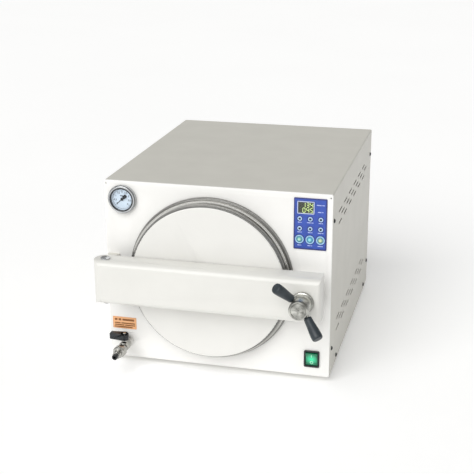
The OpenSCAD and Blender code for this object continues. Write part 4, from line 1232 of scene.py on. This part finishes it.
@dataclass
class ControlPanel(SubAssembly):
    """The printed overlay with its display, lenses and push buttons.

    Attributes:
        upper_row: digits on the display's upper row, where a space is an unlit digit.
        lower_row: digits on its lower row.
        digit_mm: width and height of a digit.
        digit_pitch_mm: distance from one digit to the next.
        row_up_mm: how far the rows stand above and below the display's middle.
        stroke_mm: width of a digit's strokes.
        edge_mm: width of the display's frame.
        pitch_mm: distance from one column of lenses and buttons to the next.
        lens_rows_mm: heights of the lenses' rows above the overlay's middle.
        button_row_mm: height of the buttons' row.
        pip_mm: profile of the lamp in a lens, as (radius, height).
        lens_halo_mm: inner and outer radius of the print round a lens.
        button_halo_mm: inner and outer radius of the print round a button.
        caption_mm: lengths of the captions under each row.
        side_captions_mm: captions beside the display, as (height above the middle, length).
        side_x_mm: where they stand, to the right of the overlay's middle.
    """

    rounds: Rounds = (("control_overlay", 0.2, 2), ("indicator_lenses", 0.35, 3))
    upper_row: str = " 134"
    lower_row: str = " 045"
    digit_mm: tuple[float, float] = (4.4, 8.6)
    digit_pitch_mm: float = 7.2
    row_up_mm: float = 5.1
    stroke_mm: float = 1.05
    edge_mm: float = 1.7
    pitch_mm: float = 20.0
    lens_rows_mm: tuple[float, float] = (9.8, -9.5)
    button_row_mm: float = -30.5
    pip_mm: Pairs = ((0.0, -0.1), (2.7, -0.1), (2.6, 0.25), (1.7, 0.75), (0.6, 0.95), (0.0, 1.0))
    lens_halo_mm: tuple[float, float] = (4.6, 5.9)
    button_halo_mm: tuple[float, float] = (8.75, 9.7)
    caption_mm: tuple[tuple[float, ...], ...] = ((7.5, 13.0, 8.5), (9.0, 9.0, 11.0), (8.0, 9.5, 10.5))
    side_captions_mm: Pairs = ((38.0, 16.0), (24.5, 11.0))
    side_x_mm: float = 19.4

    def build(self) -> None:
        """Dresses the overlay and adds its print, display, lenses and buttons."""
        unit = self.unit
        size = unit.size_mm("control_overlay")
        unit.dress(replace(OVERLAY, half_w_mm=size.x / 2, half_h_mm=size.z / 2), "control_overlay")
        unit.dress(LENS_PALE, "indicator_lenses")
        unit.dress(DISPLAY_DARK, "display_window")
        self.soften()
        for name, core, band in (
            ("button_left", "#B4DFCB", "#62AEA9"),
            ("button_middle", "#9BDDE8", "#4FA9C0"),
            ("button_right", "#D3E6B8", "#84AC9C"),
        ):
            unit.dress(key_finish(f"key_{name}", core, band), name)
            unit.soften(name, 0.4, 3)
        self.add_display()
        self.add_print()

    def add_display(self) -> None:
        """Models the display's pale frame and its lit and unlit segments."""
        unit = self.unit
        middle = unit.middle("display_window")
        size = unit.size_mm("display_window")
        edge = self.edge_mm
        across, up = (size.x - edge) / 2, (size.z - edge) / 2
        sides = []
        for i, (x, z, width, height) in enumerate((
            (0, up, size.x, edge),
            (0, -up, size.x, edge),
            (across, 0, edge, size.z),
            (-across, 0, edge, size.z),
        )):
            place = unit.front_of("display_window", x, z, PRINT_MM)
            sides.append(bar(f"side_{i}", place, Vector((width, 0.4, height)) * MM, 0.4))
        finish = DISPLAY_FRAME.material(middle)
        unit.fit(joined("display_frame", sides), "casing", unit.slots["display_window"], finish)
        lit, dark = [], []
        for row, (text, side) in enumerate(((self.upper_row, 1), (self.lower_row, -1))):
            for column, figure in enumerate(text):
                # The digits stand behind the window's raised edge
                across, up = (column - 1.5) * self.digit_pitch_mm, side * self.row_up_mm
                place = unit.front_of("display_window", across, up, -0.45)
                for i in range(7):
                    segment = self.segment(f"segment_{row}_{column}_{i}", place, i)
                    (lit if str(i) in SEGMENTS[figure] else dark).append(segment)
        for name, parts, node, finish in (
            ("digits_lit", lit, "indicator_lenses", DIGIT_LIT),
            ("digits_dark", dark, "display_window", DIGIT_DARK),
        ):
            unit.fit(joined(name, parts), "casing", unit.slots[node], finish.material(middle))

    def segment(self, name: str, place: Vector, index: int) -> Piece:
        """Models one segment of a digit.

        Args:
            name: the segment's name.
            place: middle of its digit.
            index: which segment, from the top, clockwise, with the middle one last.

        Returns:
            The segment.
        """
        stroke = self.stroke_mm
        width, height = self.digit_mm
        # Steps from the digit's middle, in half widths and in quarter heights
        x, z = ((0, 2), (1, 1), (1, -1), (0, -2), (-1, -1), (-1, 1), (0, 0))[index]
        size = (stroke, 0.12, height / 2 - stroke * 0.8) if x else (width - stroke, 0.12, stroke)
        middle = place + Vector((x * width / 2, 0, z * height / 4)) * MM
        return bar(name, middle, Vector(size) * MM, 0.45)

    def add_print(self) -> None:
        """Fits a lamp in each lens, and prints the captions and a halo round each lens and button."""
        unit = self.unit
        middle = unit.middle("control_overlay")
        pips, captions, halos = [], [], []
        rows = [(up, up - 6.9, self.lens_halo_mm) for up in self.lens_rows_mm]
        rows.append((self.button_row_mm, self.button_row_mm - 11.8, self.button_halo_mm))
        for row, (up, caption_up, (inner, outer)) in enumerate(rows):
            for j, length in zip((-1, 0, 1), self.caption_mm[row]):
                across = j * self.pitch_mm
                place = unit.front_of("control_overlay", across, up)
                if row < len(self.lens_rows_mm):
                    pips.append(turned(f"pip_{row}_{j}", self.pip_mm, place, steps=32))
                captions.append(self.caption(f"caption_{row}_{j}", across, caption_up, length))
                half = PRINT_MM / 2
                profile = [(inner, -half), (outer, -half), (outer, half), (inner, half)]
                halos.append(turned(f"halo_{row}_{j}", profile, place, steps=48))
        for row, (up, length) in enumerate(self.side_captions_mm):
            captions.append(self.caption(f"caption_side_{row}", self.side_x_mm, up, length))
        for name, parts, node, finish in (
            ("lens_pips", pips, "indicator_lenses", LED_DARK.material(unit.middle("indicator_lenses"))),
            ("overlay_captions", captions, "indicator_lenses", PRINT_PALE.material(middle)),
            ("overlay_halos", halos, "control_overlay", PRINT_NAVY.material(middle)),
        ):
            unit.fit(joined(name, parts), "casing", unit.slots[node], finish)

    def caption(self, name: str, across_mm: float, up_mm: float, length_mm: float) -> Piece:
        """Prints one caption as two short bars that stand for words.

        Args:
            name: the caption's name.
            across_mm: distance of its middle to the right of the overlay's.
            up_mm: distance of its middle above the overlay's.
            length_mm: its length.

        Returns:
            The caption.
        """
        place = self.unit.front_of("control_overlay", across_mm, up_mm, 0.04)
        words = []
        for across, share, tall in ((-0.2, 0.56, 1.7), (0.31, 0.36, 1.3)):
            middle = place + Vector((length_mm * across, 0, 0)) * MM
            words.append(bar(name, middle, Vector((length_mm * share, PRINT_MM, tall)) * MM, 0.5))
        return joined(name, words)


@dataclass
class PowerSwitch(SubAssembly):
    """The lit power switch.

    Attributes:
        mark_up_mm: distance from the rocker's middle to each of its marks.
        stroke_mm: width, thickness and height of the stroke that stands for on.
        ring_mm: inner and outer radius of the ring that stands for off.
    """

    rounds: Rounds = (("switch_bezel", 0.6, 3), ("switch_rocker", 0.5, 3))
    mark_up_mm: float = 7.0
    stroke_mm: tuple[float, float, float] = (1.5, 0.3, 6.5)
    ring_mm: tuple[float, float] = (2.1, 3.2)

    def build(self) -> None:
        """Dresses the switch and moulds the two standard marks on its rocker."""
        unit = self.unit
        unit.dress(BLACK_PLASTIC, "switch_bezel")
        rocker = unit.middle("switch_rocker")
        unit.dress(ROCKER, "switch_rocker")
        self.soften()
        upper, upper_tilt = unit.front_at("switch_rocker", rocker.x, rocker.z + self.mark_up_mm * MM)
        lower, lower_tilt = unit.front_at("switch_rocker", rocker.x, rocker.z - self.mark_up_mm * MM)
        half = self.stroke_mm[1] / 2
        inner, outer = self.ring_mm
        ring = [(inner, -half), (outer, -half), (outer, half), (inner, half)]
        marks = [
            self.laid(bar("mark_on", upper, Vector(self.stroke_mm) * MM, 0.5), upper, upper_tilt),
            self.laid(turned("mark_off", ring, lower, steps=48), lower, lower_tilt),
        ]
        body, slot = unit.bodies["switch_rocker"], unit.slots["switch_rocker"]
        unit.fit(joined("rocker_marks", marks), body, slot, MARK_PALE.material(rocker))

    def laid(self, mark: Piece, point: Vector, tilt: float) -> Piece:
        """Lays a mark flat on the rocker's sloping face.

        Args:
            mark: the mark, upright at the point.
            point: the point that it turns about.
            tilt: how far the face tilts upwards, in radians.

        Returns:
            The same mark.
        """
        turn = Matrix.Rotation(-tilt, 4, "X")
        mark.data.transform(Matrix.Translation(point) @ turn @ Matrix.Translation(-point))
        return mark


@dataclass
class Label(SubAssembly):
    """The orange label with its border and bars in place of words.

    Attributes:
        rows: printed rows, each as (height above the middle in heights of the label, its bars), with a bar as
            (middle and length in widths of the label, height in millimetres).
        border_in_mm: how far the border's line stands inside the label's edge.
        border_mm: width of the line.
    """

    rounds: Rounds = (("label_plate", 0.15, 2),)
    rows: tuple[tuple[float, tuple[tuple[float, float, float], ...]], ...] = (
        (0.27, ((-0.36, 0.11, 4.4), (-0.2, 0.11, 4.4), (0.16, 0.5, 4.0))),
        (-0.03, ((-0.3, 0.24, 2.2), (0.15, 0.58, 2.2))),
        (-0.2, ((-0.22, 0.4, 1.9), (0.23, 0.42, 1.9))),
        (-0.36, ((-0.05, 0.76, 2.0),)),
    )
    border_in_mm: float = 0.8
    border_mm: float = 0.6

    def build(self) -> None:
        """Dresses the label and prints its bars and its border."""
        unit = self.unit
        unit.dress(LABEL_ORANGE, "label_plate")
        self.soften()
        size = unit.size_mm("label_plate")
        bars = []
        for i, (up, parts) in enumerate(self.rows):
            for j, (across, share, tall) in enumerate(parts):
                place = unit.front_of("label_plate", across * size.x, up * size.z, 0.03)
                bars.append(bar(f"bar_{i}_{j}", place, Vector((share * size.x, PRINT_MM, tall)) * MM, 0.5))
        x, z = size.x / 2 - self.border_in_mm, size.z / 2 - self.border_in_mm
        wide, tall, line = size.x - 1, size.z - 1, self.border_mm
        sides = []
        for across, up, width, height in (
            (0, z, wide, line), (0, -z, wide, line), (x, 0, line, tall), (-x, 0, line, tall),
        ):
            place = unit.front_of("label_plate", across, up, 0.03)
            sides.append(bar("edge", place, Vector((width, PRINT_MM, height)) * MM, 0.2))
        middle = unit.middle("label_plate")
        for name, parts, ink in (("label_bars", bars, PRINT_BROWN), ("label_border", sides, PRINT_AMBER)):
            unit.fit(joined(name, parts), "casing", unit.slots["label_plate"], ink.material(middle))


@dataclass
class DrainValve(SubAssembly):
    """The drain valve with its lever.

    Attributes:
        screw_mm: profile of the lever's screw, as (radius, height above the lever).
    """

    rounds: Rounds = (
        ("drain_tailpiece", 0.5, 3), ("drain_valve_body", 0.5, 3), ("drain_lever", 1.0, 3),
        ("drain_outlet", 0.5, 3),
    )
    screw_mm: Pairs = ((0.0, -1.0), (3.4, -1.0), (3.4, 0.5), (2.8, 1.2), (0.0, 1.4))

    def build(self) -> None:
        """Dresses the valve and adds the lever's screw."""
        unit = self.unit
        unit.dress(PALE_NICKEL, "drain_tailpiece")
        unit.dress(NICKEL, "drain_valve_body", "drain_ball")
        unit.dress(LEVER_BLACK, "drain_lever")
        unit.dress(BLACK_PLASTIC, "drain_outlet")
        self.soften()
        axis = unit.middle("drain_ball")
        top = Vector((axis.x, axis.y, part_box("drain_lever")[1].z))
        head = turned("lever_screw", self.screw_mm, top, Vector((0, 0, 1)), 48)
        unit.fit(head, unit.bodies["drain_lever"], unit.slots["drain_ball"], ZINC.material(axis))


# ---------------------------------------------------------------- studio


@dataclass
class Studio:
    """A pale floor, soft lights and the camera.

    Attributes:
        front: middle of the front panel's lower edge, on the floor.
        lens_mm: the camera's focal length.
        distance: how far the camera stands from what it aims at.
        aim: what the camera aims at, from the front.
        azimuth_deg: how far round to the right the camera stands.
        elevation_deg: how far up it stands.
        roll_deg: how far it leans.
        room_light: strength of the even light from all round.
        window_light: strength of the broad light from the left.
        window_spread_deg: how wide the window looks from the object.
        window_way: the way that its light goes.
        strip_light: power of each strip light.
        strip_size: width and length of a strip light.
        strips: where each strip light stands, from the front.
    """

    front: Vector
    lens_mm: float = 80.12
    distance: float = 2.0157
    aim: tuple[float, float, float] = (0.0414, 0.0, 0.2875)
    azimuth_deg: float = 14.42
    elevation_deg: float = 19.01
    roll_deg: float = -0.266
    room_light: float = 0.5
    window_light: float = 2.15
    window_spread_deg: float = 50.0
    window_way: tuple[float, float, float] = (0.22, 0.72, -0.68)
    strip_light: float = 3.0
    strip_size: tuple[float, float] = (0.25, 1.6)
    strips: tuple[tuple[str, tuple[float, float, float]], ...] = (
        ("strip_left", (-1.5, -1.2, 0.9)),
        ("strip_right", (1.4, -0.9, 1.3)),
    )

    def build(self) -> None:
        """Makes the floor, the lights and the camera."""
        self.add_camera()
        self.add_floor()
        self.add_room()
        self.add_lights()
        bpy.context.scene.view_settings.view_transform = "Standard"

    def add_camera(self) -> None:
        """Makes the camera, a little right of the front and above it."""
        data = bpy.data.cameras.new("camera")
        data.lens = self.lens_mm
        data.sensor_width = 36.0
        data.clip_end = 100.0
        camera = bpy.data.objects.new("camera", data)
        bpy.context.scene.collection.objects.link(camera)
        azimuth, elevation = math.radians(self.azimuth_deg), math.radians(self.elevation_deg)
        level = math.cos(elevation)
        back = Vector((math.sin(azimuth) * level, -math.cos(azimuth) * level, math.sin(elevation)))
        camera.location = self.front + Vector(self.aim) + back * self.distance
        lean = Matrix.Rotation(math.radians(self.roll_deg), 3, "Z")
        camera.rotation_euler = ((-back).to_track_quat("-Z", "Y").to_matrix() @ lean).to_euler()
        bpy.context.scene.camera = camera

    def add_floor(self) -> None:
        """Makes a wide white floor."""
        start_clean()
        bpy.ops.mesh.primitive_plane_add(size=60, location=(0, 0, 0))
        floor = bpy.context.object
        floor.name = "floor"
        painted(floor, FLOOR_WHITE.material())

    def add_room(self) -> None:
        """Makes an even pale light from all round."""
        world = bpy.data.worlds.new("room")
        bpy.context.scene.world = world
        world.use_nodes = True
        tree = world.node_tree
        tree.nodes.clear()
        light = {"Color": linear("#E6E6E4"), "Strength": self.room_light}
        room = add_node(tree, "ShaderNodeBackground", light).outputs[0]
        add_node(tree, "ShaderNodeOutputWorld", {0: room})

    def add_lights(self) -> None:
        """Makes one broad soft light, and two strips for the metal to reflect."""
        scene = bpy.context.scene
        sun = bpy.data.lights.new("window", "SUN")
        sun.energy = self.window_light
        sun.angle = math.radians(self.window_spread_deg)
        lamp = bpy.data.objects.new("window", sun)
        lamp.rotation_euler = Vector(self.window_way).to_track_quat("-Z", "Y").to_euler()
        scene.collection.objects.link(lamp)
        for name, place in self.strips:
            data = bpy.data.lights.new(name, "AREA")
            data.shape = "RECTANGLE"
            data.size, data.size_y = self.strip_size
            data.energy = self.strip_light
            strip = bpy.data.objects.new(name, data)
            strip.visible_diffuse = False
            strip.location = self.front + Vector(place)
            strip.rotation_euler = (Vector((0, 0, 0.2)) - Vector(place)).to_track_quat("-Z", "Y").to_euler()
            scene.collection.objects.link(strip)


def main() -> None:
    """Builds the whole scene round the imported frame."""
    logging.basicConfig(level=logging.INFO, format="%(name)s: %(message)s")
    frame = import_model()
    unit = Autoclave(frame)
    front_low, front_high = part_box("front_panel")
    Studio(Vector(((front_low.x + front_high.x) / 2, front_low.y, 0.0))).build()
    for part in (Casing, Chamber, DoorArm, ClampKnob, Gauge, ControlPanel, PowerSwitch, Label, DrainValve):
        part(unit).build()


if __name__ == "__main__":
    main()
